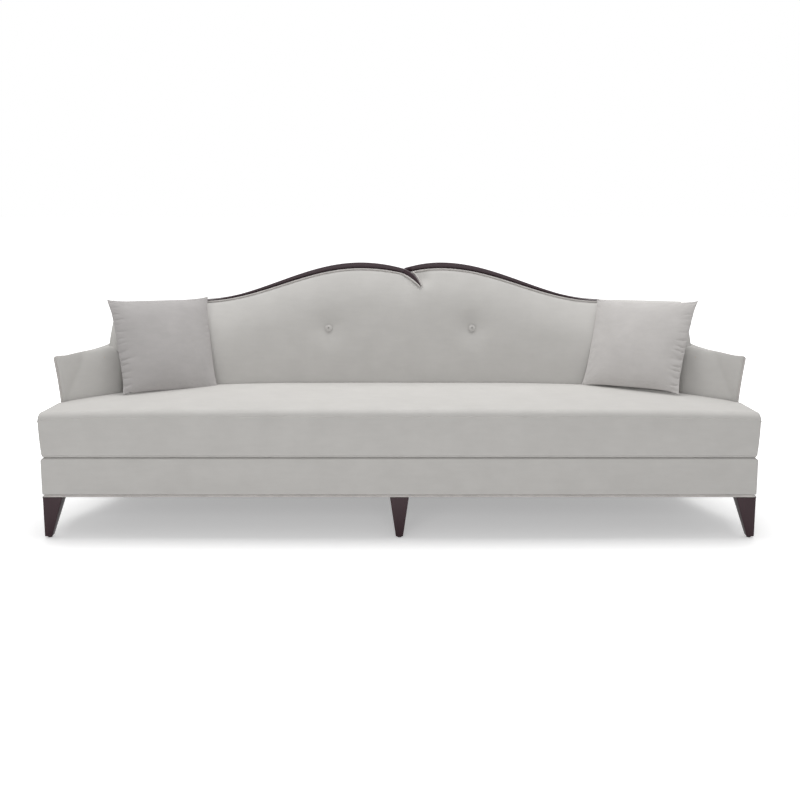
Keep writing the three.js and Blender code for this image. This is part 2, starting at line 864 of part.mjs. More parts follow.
// One upright section across an arm, from its inner foot over the crown to its outer foot.
// Below the crown it leaves a channel for the welt, and room for the outside panel.
function armSection(depth) {
  const along = (depth - armFrontDepth) / (baseDepth - armFrontDepth);
  const top = armHeight - armFrontDrop * (1 - along) ** armBaseShare;
  const edge = outerFace(depth, top);
  const width = edge - armInside(depth, top);
  const crown = Math.min(armCrown, width / 2);
  const shoulder = Math.min(armShoulder, width / 3);
  const lip = panelTop + weltChannel;
  const brow = armInside(depth, top - crown);
  const soft = crown * (1 - Math.SQRT1_2);
  const inner = (z) => spot(armInside(depth, z), depth, z);
  const outer = (x, z) => spot(x - coverThickness - clearance, depth, z);
  return [
    inner(baseTop),
    inner(seatHeight),
    inner(mix(seatHeight, top - crown, 1 / 2)),
    inner(top - crown),
    spot(brow + soft, depth, top - soft),
    spot(brow + crown, depth, top),
    spot(edge - shoulder, depth, top),
    spot(edge, depth, Math.max(top - shoulder, lip + clearance)),
    spot(edge, depth, lip),
    outer(edge, lip),
    ...armLevels.map((z) => outer(outerFace(depth, z), z)).reverse(),
  ];
}

// Everything behind a distance in front of the rear face, where the arms end.
function beyondBack(distance) {
  return backLayer(
    [burlapReach, ...placesWithin(padSeam, rearHalfWidth), sofaWidth / 2],
    () => baseTop - clearance,
    () => peakHeight,
    distance,
    -baseDepth,
  );
}

const armPostOffset = rearHalfWidth - armPostInset;

// The top rail of an arm, grown on every side for the hollow that it needs.
function armRail(grow) {
  const half = armPostWidth / 2 + grow;
  const low = armPostTop + clearance - grow;
  const high = armPostTop + clearance + armRailHeight + grow;
  const ends = [
    [armPostOffset, armPostStart - grow],
    [rearHalfWidth - armRailInset, armRailReach + grow],
  ];
  return loft(
    ends.map(([x, y]) =>
      [[-half, low], [half, low], [half, high], [-half, high]].map(([side, z]) => spot(x + side, y, z)),
    ),
  );
}

function armPost(grow) {
  const half = armPostWidth / 2 + grow;
  const near = [armPostOffset - half, armPostStart - grow, baseTop - grow];
  const far = [armPostOffset + half, armPostStart + armPostDepth + grow, armPostTop + grow];
  return block(near, far);
}

function armPad() {
  const hollows = [endPost, armPost, armRail].map((piece) => piece(clearance));
  return carve(loft(armDepths.map(armSection)), [beyondBack(boardBack), ...hollows]);
}

// The outside of an arm, a padded panel that flares as the arm does.
function armPanel() {
  const sections = armDepths.map((depth) => {
    const face = armLevels.map((z) => spot(outerFace(depth, z), depth, z));
    const lining = face.map((point) => point.clone().setX(point.x - coverThickness));
    return [...face, ...lining.reverse()];
  });
  return carve(loft(sections), [beyondBack(0)]);
}

// The welt up the front edge of an arm, and back along the seam below its crown.
function armWelt() {
  const depth = armFrontDepth - weltRadius - clearance;
  const seam = panelTop + weltChannel / 2;
  const turn = outerFace(armFrontDepth, seam) - weltRadius / 2;
  const up = spread(baseTop + weltRadius * 2, panelTop - armShoulder, 6).map((z) =>
    spot(outerFace(armFrontDepth, z) - coverThickness / 2, depth, z),
  );
  const rear = rearFace(rearHalfWidth, seam) - weltRadius;
  const back = spread(armFrontDepth, rear, 9).map((y) =>
    spot(outerFace(y, seam) - weltRadius / 2, y, seam),
  );
  return joined([
    cord([...up, spot(turn, depth, seam)], weltRadius, weltSides, 9),
    cord([spot(turn, depth - weltRadius, seam), ...back], weltRadius, weltSides, 14),
  ]);
}

const armPieces = {
  arm_pad: [armPad(), fabric],
  outside_arm: [armPanel(), fabric],
  arm_post: [armPost(0), frameWood],
  arm_rail: [armRail(0), frameWood],
  arm_welt: [armWelt(), welting],
};
for (const [name, [geometry, finish]] of Object.entries(armPieces)) {
  addPiece(`${name}_right`, geometry, finish);
  addPiece(`${name}_left`, mirrored(geometry), finish);
}

// Seat cushion

const cushionBottom = baseTop + clearance;
const cushionHalf = sofaWidth / 2;
const weltFront = armFrontDepth - weltRadius * 3;

// The rear edge of the cushion, which keeps clear of the back, the arms and their welts.
function cushionRear(x) {
  const free = Math.abs(x) < cushionHalf - cushionEndRadius;
  return free ? insideLine(x) - cushionGap : weltFront;
}

// One upright section of the cushion, in depth and height. Draw is how far its sewn end has
// drawn it in.
function cushionSection(x, draw) {
  const bottom = cushionBottom + draw * cushionHeelShare;
  const rear = cushionRear(x) - draw / 2;
  const front = draw / 2;
  const swollen = front + cushionSwell;
  const crown = cushionCrown * (1 - Math.abs(x / cushionHalf) ** cushionCrownShare);
  const flat = cushionBottom + cushionThickness - draw;
  const high = (t) =>
    flat - cushionFall * t + crown * (1 + cushionMiddleShare * Math.sin(t * Math.PI));
  const top = high(0);
  const radius = cushionTopRadius - draw / 2;
  const reach = cushionRollReach - draw;
  const soft = 1 - Math.SQRT1_2;
  const rows = [
    [swollen + cushionFootRadius, bottom],
    [swollen, bottom + cushionFootRadius],
    [front, mix(bottom, top, 1 / 3)],
    [front, mix(bottom, top, 2 / 3)],
    [swollen, top - radius],
    [swollen + reach * soft, top - radius * soft],
    [swollen + reach, top],
    ...spread(0, 1, 5).slice(1, -1).map((t) => [mix(swollen, rear, t), high(t)]),
    [rear - radius, high(1) - cushionFootRadius / 2],
    [rear, high(1) - radius],
    [rear, bottom],
  ];
  const leant = (z) => 1 - (cushionEndLean / cushionHalf) * ((top - z) / cushionThickness);
  return rows.map(([depth, z]) => spot(x * Math.min(leant(z), 1), depth, z));
}

function seatCushion() {
  const flat = cushionHalf - cushionEndRadius;
  const middle = crowded(0, 1, 16, cushionCrowdShare)
    .map((t) => ({ x: flat * (1 - t), draw: 0 }))
    .reverse();
  const end = cushionEndShares.map((share) => ({
    x: flat + cushionEndRadius * share,
    draw: cushionEndRadius * (1 - Math.sqrt(1 - share ** 2)),
  }));
  const half = [...middle, ...end];
  const far = half.slice(1).map(({ x, draw }) => ({ x: -x, draw }));
  return loft([...far.reverse(), ...half].map(({ x, draw }) => cushionSection(x, draw)));
}
addPiece('seat_cushion', seatCushion(), fabric);

// Pillows

// A square knife-edge pillow about its own middle, upright in X and Z. It swells less at the
// back, where it leans on the sofa.
function pillow() {
  const places = spread(-1, 1, 14).map((t) => Math.sin((t * Math.PI) / 2));
  const full = (t) => (1 - Math.abs(t) ** pillowFullShare) ** pillowEdgeShare;
  const drawn = (t) => pillowSize / 2 - pillowDrawIn * (1 - t ** 2);
  const face = (v, swell) =>
    places.map((u) =>
      spot(u * drawn(v), Math.sign(swell) * (pillowSeam / 2) + swell * full(u) * full(v), v * drawn(u)),
    );
  return loft(places.map((v) => [...face(v, -pillowFrontSwell), ...face(v, pillowBackSwell).reverse()]));
}

const pillows = new THREE.Group();
const pillowRise = (pillowSize / 2) * Math.cos(pillowLean) + pillowGap;
pillows.position.set(0, pillowDepth, seatHeight + pillowRise);
for (const [name, side] of [['left', -1], ['right', 1]]) {
  const mesh = addPiece(`pillow_${name}`, pillow(), fabric, pillows);
  mesh.position.x = side * (sofaWidth / 2 - pillowInset);
  mesh.rotation.set(-pillowLean, -side * pillowRoll, -side * pillowTurn, 'ZXY');
}
sofa.add(pillows);

// The origin is the middle of the sofa's footprint, on the floor.
const bounds = new THREE.Box3().setFromObject(sofa);
const middle = bounds.getCenter(spot());
sofa.position.set(-middle.x, -middle.y, -bounds.min.z);

export default sofa;
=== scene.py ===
"""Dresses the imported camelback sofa: upholstery, show wood, linings, stage, light and camera."""

import json
import logging
import math
from collections.abc import Callable, Sequence
from dataclasses import dataclass
from enum import Enum

import bmesh
import bpy
from mathutils import Matrix, Vector, noise

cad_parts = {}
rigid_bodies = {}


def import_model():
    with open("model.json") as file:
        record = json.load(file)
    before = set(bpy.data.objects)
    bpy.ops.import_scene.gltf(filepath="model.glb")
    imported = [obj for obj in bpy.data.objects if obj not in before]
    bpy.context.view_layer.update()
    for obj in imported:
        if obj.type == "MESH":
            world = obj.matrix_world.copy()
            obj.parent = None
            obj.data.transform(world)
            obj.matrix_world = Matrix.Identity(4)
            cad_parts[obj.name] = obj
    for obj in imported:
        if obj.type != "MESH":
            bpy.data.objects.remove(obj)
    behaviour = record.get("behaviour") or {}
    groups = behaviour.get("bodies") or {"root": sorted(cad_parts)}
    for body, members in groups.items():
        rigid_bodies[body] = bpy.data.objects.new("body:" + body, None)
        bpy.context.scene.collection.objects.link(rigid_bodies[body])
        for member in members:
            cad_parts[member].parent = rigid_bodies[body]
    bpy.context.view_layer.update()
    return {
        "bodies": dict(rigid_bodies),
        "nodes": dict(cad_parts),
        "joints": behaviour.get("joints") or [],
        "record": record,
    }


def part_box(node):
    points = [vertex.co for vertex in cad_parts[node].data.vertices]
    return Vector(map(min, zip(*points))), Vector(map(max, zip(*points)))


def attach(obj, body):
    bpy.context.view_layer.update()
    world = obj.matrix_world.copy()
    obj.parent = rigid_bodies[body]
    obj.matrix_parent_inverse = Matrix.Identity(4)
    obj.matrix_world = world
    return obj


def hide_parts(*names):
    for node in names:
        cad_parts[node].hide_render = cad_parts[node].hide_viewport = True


LOG = logging.getLogger("sofa")

# Lengths are in metres. Points nearer than this are one point.
MERGE = 2e-5
# The gap between neighbouring pieces.
CLEARANCE = 0.0003
# The thickness of the padded covers on the base, the arms and the rear.
COVER = 0.014
# How far in front of the rear face the pads end.
REAR_ROOM = 0.0145
# How far apart two places are from which a slope is measured.
SLOPE_STEP = 0.004

Pair = tuple[float, float]
Ring = list[Vector]


class Side(Enum):
    """The two ends of the sofa, as the sign of X there."""

    LEFT = -1
    RIGHT = 1

    @property
    def word(self) -> str:
        """The word that ends the names of this side's pieces."""
        return self.name.lower()


class Body(Enum):
    """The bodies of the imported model."""

    SOFA = "sofa"
    CUSHION = "seat_cushion"
    PILLOW_LEFT = "pillow_left"
    PILLOW_RIGHT = "pillow_right"


class Grain(Enum):
    """Which way the grain of a wooden piece runs, as how far it stretches on each axis."""

    ALONG = (14.0, 1.0, 1.0)
    UPRIGHT = (1.0, 1.0, 14.0)


# Numbers and curves


def mix(low: float, high: float, share: float) -> float:
    """The value at a share of the way from low to high."""
    return low + (high - low) * share


def clamp(value: float, low: float = 0.0, high: float = 1.0) -> float:
    """The value, kept between low and high."""
    return max(low, min(high, value))


def eased(share: float) -> float:
    """A share that starts and ends gently."""
    held = clamp(share)
    return held * held * (3 - 2 * held)


def spread(low: float, high: float, count: int) -> list[float]:
    """Evenly spaced values from low to high, both ends included."""
    return [mix(low, high, i / count) for i in range(count + 1)]


def bump(distance: float, reach: float) -> float:
    """A soft bell: 1 in the middle, and next to nothing at twice its reach."""
    return math.exp(-((distance / reach) ** 2))


def quarter(steps: int) -> list[Pair]:
    """How far a quarter turn has risen and run at each step after its start, both from 0 to 1."""
    return [(math.sin(turn), 1 - math.cos(turn)) for turn in spread(0, math.pi / 2, steps)[1:]]


def drawn_in(radius: float, near: float) -> float:
    """How far a rounded edge is drawn in, from nothing (near is 0) to its radius (near is 1)."""
    return radius * (1 - math.sqrt(1 - near**2))


def section(corners: Sequence[tuple[float, float, float]], arc: int, runs: Sequence[int]) -> list[Pair]:
    """Rounds the corners of a closed outline and fills its straight runs with points.

    Args:
        corners: Each corner's two places and its radius.
        arc: How many steps round each corner.
        runs: How many steps the run after each corner gets.

    Returns:
        The points of the rounded outline, always the same count for the same arc and runs.
    """
    points: list[Pair] = []
    ends: list[tuple[Vector, Vector, Vector]] = []
    spots = [Vector(corner[:2]) for corner in corners]
    for i, (_, _, radius) in enumerate(corners):
        here = spots[i]
        before = spots[i - 1] - here
        after = spots[(i + 1) % len(spots)] - here
        reach = min(radius, before.length * 0.49, after.length * 0.49)
        start = here + (before.normalized() * reach if before.length > MERGE else Vector((0, 0)))
        end = here + (after.normalized() * reach if after.length > MERGE else Vector((0, 0)))
        ends.append((start, here, end))
    for i, (start, here, end) in enumerate(ends):
        for share in spread(0, 1, arc):
            spot = start * (1 - share) ** 2 + here * (2 * share * (1 - share)) + end * share**2
            points.append((spot.x, spot.y))
        following = ends[(i + 1) % len(ends)][0]
        for share in spread(0, 1, runs[i])[1:-1]:
            spot = end.lerp(following, share)
            points.append((spot.x, spot.y))
    return points


def offset_loop(loop: Sequence[Vector], distance: float) -> Ring:
    """Moves a closed flat line inwards, square to its own run.

    Args:
        loop: The line's points in plan, counterclockwise.
        distance: How far it moves in.

    Returns:
        The moved points.
    """
    moved = []
    for i, point in enumerate(loop):
        run = loop[(i + 1) % len(loop)] - loop[i - 1]
        inwards = Vector((-run.y, run.x, 0)).normalized()
        moved.append(point + inwards * distance)
    return moved


# Meshes


def skin(across: int, along: int, place: Callable[[float, float], Vector]) -> bmesh.types.BMesh:
    """Spreads a grid over a surface.

    Args:
        across: Faces along the first direction.
        along: Faces along the second direction.
        place: Where a point lies, from its two shares between 0 and 1.

    Returns:
        The new mesh.
    """
    bm = bmesh.new()
    bmesh.ops.create_grid(bm, x_segments=across, y_segments=along, size=0.5)
    for vert in bm.verts:
        vert.co = place(vert.co.x + 0.5, vert.co.y + 0.5)
    return bm


def sleeve(rings: Sequence[Ring], looped: bool = False) -> bmesh.types.BMesh:
    """Spreads a skin over rings of points, and closes its ends.

    Args:
        rings: The rings, all with the same count of points.
        looped: Whether the last ring joins the first one.

    Returns:
        The closed mesh.
    """
    across = len(rings) if looped else len(rings) - 1
    around = len(rings[0])

    def place(u: float, v: float) -> Vector:
        """Looks a point up in the rings."""
        return rings[round(u * across) % len(rings)][round(v * around) % around]

    bm = skin(across, around, place)
    close(bm)
    return bm


def close(bm: bmesh.types.BMesh) -> None:
    """Merges the doubles of a mesh, fills its holes and turns its faces outwards.

    Args:
        bm: The mesh, changed in place.
    """
    bmesh.ops.remove_doubles(bm, verts=bm.verts, dist=MERGE)
    rims = [edge for edge in bm.edges if edge.is_boundary]
    if rims:
        filled = bmesh.ops.holes_fill(bm, edges=rims, sides=0)
        bmesh.ops.triangulate(bm, faces=filled["faces"])
    bmesh.ops.recalc_face_normals(bm, faces=bm.faces)


def tube(path: Sequence[Vector], radius: float, sides: int = 10, looped: bool = False) -> bmesh.types.BMesh:
    """Sweeps a round section along a path.

    Args:
        path: The points of its middle line.
        radius: The radius of the section.
        sides: The count of points in a section.
        looped: Whether the path's end joins its start.

    Returns:
        The closed mesh.
    """
    count = len(path)
    side = Vector((0, 0, 1))
    rings = []
    for i, point in enumerate(path):
        ahead = path[(i + 1) % count] if looped or i + 1 < count else point
        behind = path[i - 1] if looped or i else point
        run = (ahead - behind).normalized()
        side = (side - run * side.dot(run)).normalized()
        other = run.cross(side)
        turns = [2 * math.pi * j / sides for j in range(sides)]
        rings.append([point + (side * math.cos(t) + other * math.sin(t)) * radius for t in turns])
    return sleeve(rings, looped)


def joined(parts: Sequence[bmesh.types.BMesh]) -> bmesh.types.BMesh:
    """Puts several closed meshes into the first one and frees the others.

    Args:
        parts: The meshes, one or more.

    Returns:
        The first mesh, with all of them in it.
    """
    first = parts[0]
    for part in parts[1:]:
        spare = bpy.data.meshes.new("spare")
        part.to_mesh(spare)
        part.free()
        first.from_mesh(spare)
        bpy.data.meshes.remove(spare)
    return first


# Colours and shader nodes


def linear(code: str) -> tuple[float, float, float, float]:
    """Turns an sRGB hex colour to the linear values that a shader takes.

    Args:
        code: The colour, such as "#C8C5C1".

    Returns:
        Red, green, blue and an alpha of 1.
    """
    shares = [int(code[i : i + 2], 16) / 255 for i in (1, 3, 5)]
    red, green, blue = (s / 12.92 if s <= 0.04045 else ((s + 0.055) / 1.055) ** 2.4 for s in shares)
    return red, green, blue, 1.0


def add_node(
    tree: bpy.types.NodeTree, kind: str, settings: dict | None = None, inputs: dict | None = None
) -> bpy.types.Node:
    """Adds a node with its settings and its links.

    Args:
        tree: The node tree that it joins.
        kind: The node's type name.
        settings: Values for the node's own properties.
        inputs: A value or a linked socket for each input, by its name or number.

    Returns:
        The new node.
    """
    made = tree.nodes.new(kind)
    for name, value in (settings or {}).items():
        setattr(made, name, value)
    for name, value in (inputs or {}).items():
        if isinstance(value, bpy.types.NodeSocket):
            tree.links.new(value, made.inputs[name])
        else:
            made.inputs[name].default_value = value
    return made


def new_material(name: str) -> tuple[bpy.types.Material, bpy.types.NodeTree]:
    """Starts an empty node material of that name.

    Args:
        name: The material's name.

    Returns:
        The material and its node tree.
    """
    material = bpy.data.materials.new(name)
    material.use_nodes = True
    material.node_tree.nodes.clear()
    return material, material.node_tree


def per_metre(size_mm: float) -> float:
    """The scale at which a texture's cell measures so many millimetres."""
    return 1000 / size_mm


class Finish:
    """A material of the sofa, made the first time it is used."""

    name: str
    slot: str

    def build(self) -> bpy.types.Material:
        """Makes the material."""
        raise NotImplementedError

    def material(self) -> bpy.types.Material:
        """The material, made once."""
        return bpy.data.materials.get(self.name) or self.build()


@dataclass(frozen=True)
class Surface:
    """What a finish hands to its shader.

    The factor mixes the dark tone and the light one. The height, the strength and the depth in
    metres make the bump. The constants go onto the shader's own sockets.
    """

    factor: bpy.types.NodeSocket
    dark: str
    light: str
    height: bpy.types.NodeSocket
    strength: float
    depth: float
    constants: dict

    def link(self, tree: bpy.types.NodeTree) -> None:
        """Adds the shader with its tone and its bump, and links it to the output.

        Args:
            tree: The material's node tree.
        """
        tones = {"Factor": self.factor, 6: linear(self.dark), 7: linear(self.light)}
        tone = add_node(tree, "ShaderNodeMix", {"data_type": "RGBA"}, tones)
        bumps = {"Strength": self.strength, "Distance": self.depth, "Height": self.height}
        relief = add_node(tree, "ShaderNodeBump", inputs=bumps)
        shown = {"Base Color": tone.outputs[2], "Normal": relief.outputs["Normal"], **self.constants}
        shader = add_node(tree, "ShaderNodeBsdfPrincipled", inputs=shown)
        add_node(tree, "ShaderNodeOutputMaterial", inputs={"Surface": shader.outputs["BSDF"]})


@dataclass(frozen=True)
class Velvet(Finish):
    """Short cut-pile cotton velvet: matt, with soft patches where the pile lies another way."""

    name: str = "cotton velvet, cut pile"
    slot: str = "velvet"
    light: str = "#C0BEBB"
    shade: str = "#BBB9B6"
    patch_mm: float = 90.0
    streak_mm: float = 26.0
    pile_mm: float = 2.4
    sheen: float = 0.22

    def build(self) -> bpy.types.Material:
        """Makes the material: patches and streaks in the nap, and a fine pile in the bump."""
        material, tree = new_material(self.name)
        place = add_node(tree, "ShaderNodeTexCoord").outputs["Object"]
        lying = add_node(tree, "ShaderNodeMapping", inputs={"Vector": place, "Scale": (0.35, 1.0, 1.6)})
        # A real pile is a tenth of a millimetre thick. It is drawn coarser so that it shows.
        patches, streaks, pile = (
            add_node(
                tree,
                "ShaderNodeTexNoise",
                inputs={"Vector": vector, "Scale": per_metre(cell_mm), "Detail": detail, "Roughness": rough},
            ).outputs["Fac"]
            for vector, cell_mm, detail, rough in (
                (place, self.patch_mm, 3.0, 0.55),
                (lying.outputs["Vector"], self.streak_mm, 4.0, 0.6),
                (place, self.pile_mm, 2.0, 0.7),
            )
        )
        mixed = {"Factor": 0.4, 2: patches, 3: streaks}
        nap = add_node(tree, "ShaderNodeMix", {"data_type": "FLOAT"}, mixed)
        stretched = {"Value": nap.outputs[0], "From Min": 0.36, "From Max": 0.64}
        lie = add_node(tree, "ShaderNodeMapRange", inputs=stretched)
        constants = {
            "Roughness": 0.9,
            "Specular IOR Level": 0.25,
            "Sheen Weight": self.sheen,
            "Sheen Roughness": 0.45,
            "Sheen Tint": linear("#F2F0EC"),
        }
        # The pile leans either way, which gives the eye two near tones of one grey.
        Surface(lie.outputs["Result"], self.shade, self.light, pile, 0.35, 0.0006, constants).link(tree)
        return material


@dataclass(frozen=True)
class StainedWood(Finish):
    """Walnut stained near black under satin lacquer: fine reddish grain, and a soft shine."""

    name: str = "stained walnut, satin lacquer, rails"
    slot: str = "dark_wood"
    grain: Grain = Grain.ALONG
    light: str = "#38222A"
    dark: str = "#1E1317"
    pore_mm: float = 5.0

    def build(self) -> bpy.types.Material:
        """Makes the material: grain in the colour, and pores in the gloss."""
        material, tree = new_material(self.name)
        place = add_node(tree, "ShaderNodeTexCoord").outputs["Object"]
        pulled = tuple(1 / stretch for stretch in self.grain.value)
        along = add_node(tree, "ShaderNodeMapping", inputs={"Vector": place, "Scale": pulled})
        fibres = {
            "Vector": along.outputs["Vector"],
            "Scale": per_metre(self.pore_mm),
            "Detail": 5.0,
            "Roughness": 0.62,
            "Distortion": 0.4,
        }
        grain = add_node(tree, "ShaderNodeTexNoise", inputs=fibres).outputs["Fac"]
        glosses = {"Value": grain, "To Min": 0.34, "To Max": 0.5}
        gloss = add_node(tree, "ShaderNodeMapRange", inputs=glosses)
        constants = {
            "Roughness": gloss.outputs["Result"],
            "Specular IOR Level": 0.28,
            "Coat Weight": 0.08,
            "Coat Roughness": 0.3,
        }
        Surface(grain, self.dark, self.light, grain, 0.2, 0.0003, constants).link(tree)
        return material


@dataclass(frozen=True)
class PlainStuff(Finish):
    """A plain hidden material with a grainy tone: raw timber, burlap, lining, steel or plastic."""

    name: str
    slot: str
    light: str
    dark: str
    cell_mm: float
    stretch: tuple[float, float, float] = (1.0, 1.0, 1.0)
    roughness: float = 0.8
    metallic: float = 0.0
    relief_mm: float = 0.2

    def build(self) -> bpy.types.Material:
        """Makes the material: one noise drives its tone and its bump."""
        material, tree = new_material(self.name)
        place = add_node(tree, "ShaderNodeTexCoord").outputs["Object"]
        pulled = tuple(1 / stretch for stretch in self.stretch)
        along = add_node(tree, "ShaderNodeMapping", inputs={"Vector": place, "Scale": pulled})
        grains = {"Vector": along.outputs["Vector"], "Scale": per_metre(self.cell_mm), "Detail": 4.0}
        cells = add_node(tree, "ShaderNodeTexNoise", inputs=grains).outputs["Fac"]
        constants = {"Roughness": self.roughness, "Metallic": self.metallic}
        depth = self.relief_mm / 1000
        Surface(cells, self.dark, self.light, cells, 0.5, depth, constants).link(tree)
        return material


# The sofa's own velvet: short pile, a warm light grey.
VELVET = Velvet()
# The same velvet on the bench cushion, as a material of its own.
SEAT_VELVET = Velvet(name="cotton velvet, seat", slot="seat_velvet")
# The pillows' velvet is a shade pinker than the sofa's.
PILLOW_VELVET = Velvet(
    name="cotton velvet, pillows", slot="pillow_velvet", light="#BFBCBA", shade="#B8B5B3"
)
# Painted shade: a darker copy of the pillows' velvet with less sheen, so that the left pillow looks less lit
# than the right one.
PAINTED_SHADE_PILLOW_VELVET = Velvet(
    name="cotton velvet, left pillow, painted shade",
    slot="pillow_velvet",
    light="#B0ADAC",
    shade="#A9A6A5",
    sheen=0.16,
)
# Painted shade: a darker copy of the velvet with hardly any sheen, so that the outside arms' edges look
# turned away from the light.
PAINTED_SHADE_ARM_VELVET = Velvet(
    name="cotton velvet, outside arms", light="#B2AFAC", shade="#ABA8A5", sheen=0.05
)
# Cut across the weave and pulled round a cord, the welt's pile opens and looks lighter in spots.
WELT_VELVET = Velvet(
    name="cotton velvet, bias-cut welt", slot="welt", light="#C4C0BD", shade="#B4B0AD", patch_mm=30
)
# Nearly black with a red cast, and a soft line of light along each edge.
RAIL_WOOD = StainedWood()
# The legs' grain runs upright, and the stain sits redder on it.
LEG_WOOD = StainedWood(
    name="stained walnut, satin lacquer, legs", light="#33161F", dark="#1D0F14", grain=Grain.UPRIGHT
)
# Pale sawn beech, straw coloured, with a long grain.
RAW_BEECH = PlainStuff("raw beech, sawn", "frame_wood", "#D9B98A", "#B48C5A", 7.0, (18.0, 1.0, 1.0), 0.75)
# Coarse brown jute.
BURLAP = PlainStuff(
    "jute burlap, woven", "burlap", "#C2A878", "#8C7347", 3.0, roughness=0.95, relief_mm=0.6
)
# Thin black cloth without a shine.
DUST_CLOTH = PlainStuff("spun-bonded dust cloth", "lining", "#2E2D2D", "#1C1B1B", 4.0, roughness=0.95)
# Plain matt cotton, a little warmer than the velvet.
DECK_CLOTH = PlainStuff("cotton decking cloth", "lining", "#B9B5AE", "#A39F98", 2.5, roughness=0.92)
# Grey drawn wire with an oily shine.
STEEL = PlainStuff(
    "spring steel wire, oiled",
    "spring_steel",
    "#7C7F84",
    "#5A5C60",
    8.0,
    roughness=0.38,
    metallic=1.0,
    relief_mm=0.05,
)
# Black plastic, half matt.
NYLON = PlainStuff(
    "moulded nylon", "glide_plastic", "#232022", "#171516", 3.0, roughness=0.5, relief_mm=0.1
)


# Finished pieces


@dataclass(frozen=True)
class Tag:
    """What a finished piece is called and made of, what it moves with and what it stands for."""

    name: str
    finish: Finish
    stands_for: tuple[str, ...] = ()
    body: Body = Body.SOFA
    fill: float | None = None
    crease: float = 45.0
    finer: int = 0


def make_piece(bm: bmesh.types.BMesh, tag: Tag) -> None:
    """Turns a mesh into a finished piece of the sofa.

    Args:
        bm: The mesh, in its place in metres. It is freed.
        tag: The piece's name, finish, body and the nodes that it stands for.
    """
    mesh = bpy.data.meshes.new(tag.name)
    bm.to_mesh(mesh)
    bm.free()
    mesh.shade_smooth()
    mesh.set_sharp_from_angle(angle=math.radians(tag.crease))
    mesh.materials.append(tag.finish.material())
    thing = bpy.data.objects.new(tag.name, mesh)
    bpy.context.scene.collection.objects.link(thing)
    if tag.finer:
        smooth = thing.modifiers.new("finer", "SUBSURF")
        smooth.levels = smooth.render_levels = tag.finer
    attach(thing, tag.body.value)
    if tag.stands_for:
        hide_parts(*tag.stands_for)
    LOG.info("%s: %d faces", tag.name, len(mesh.polygons))


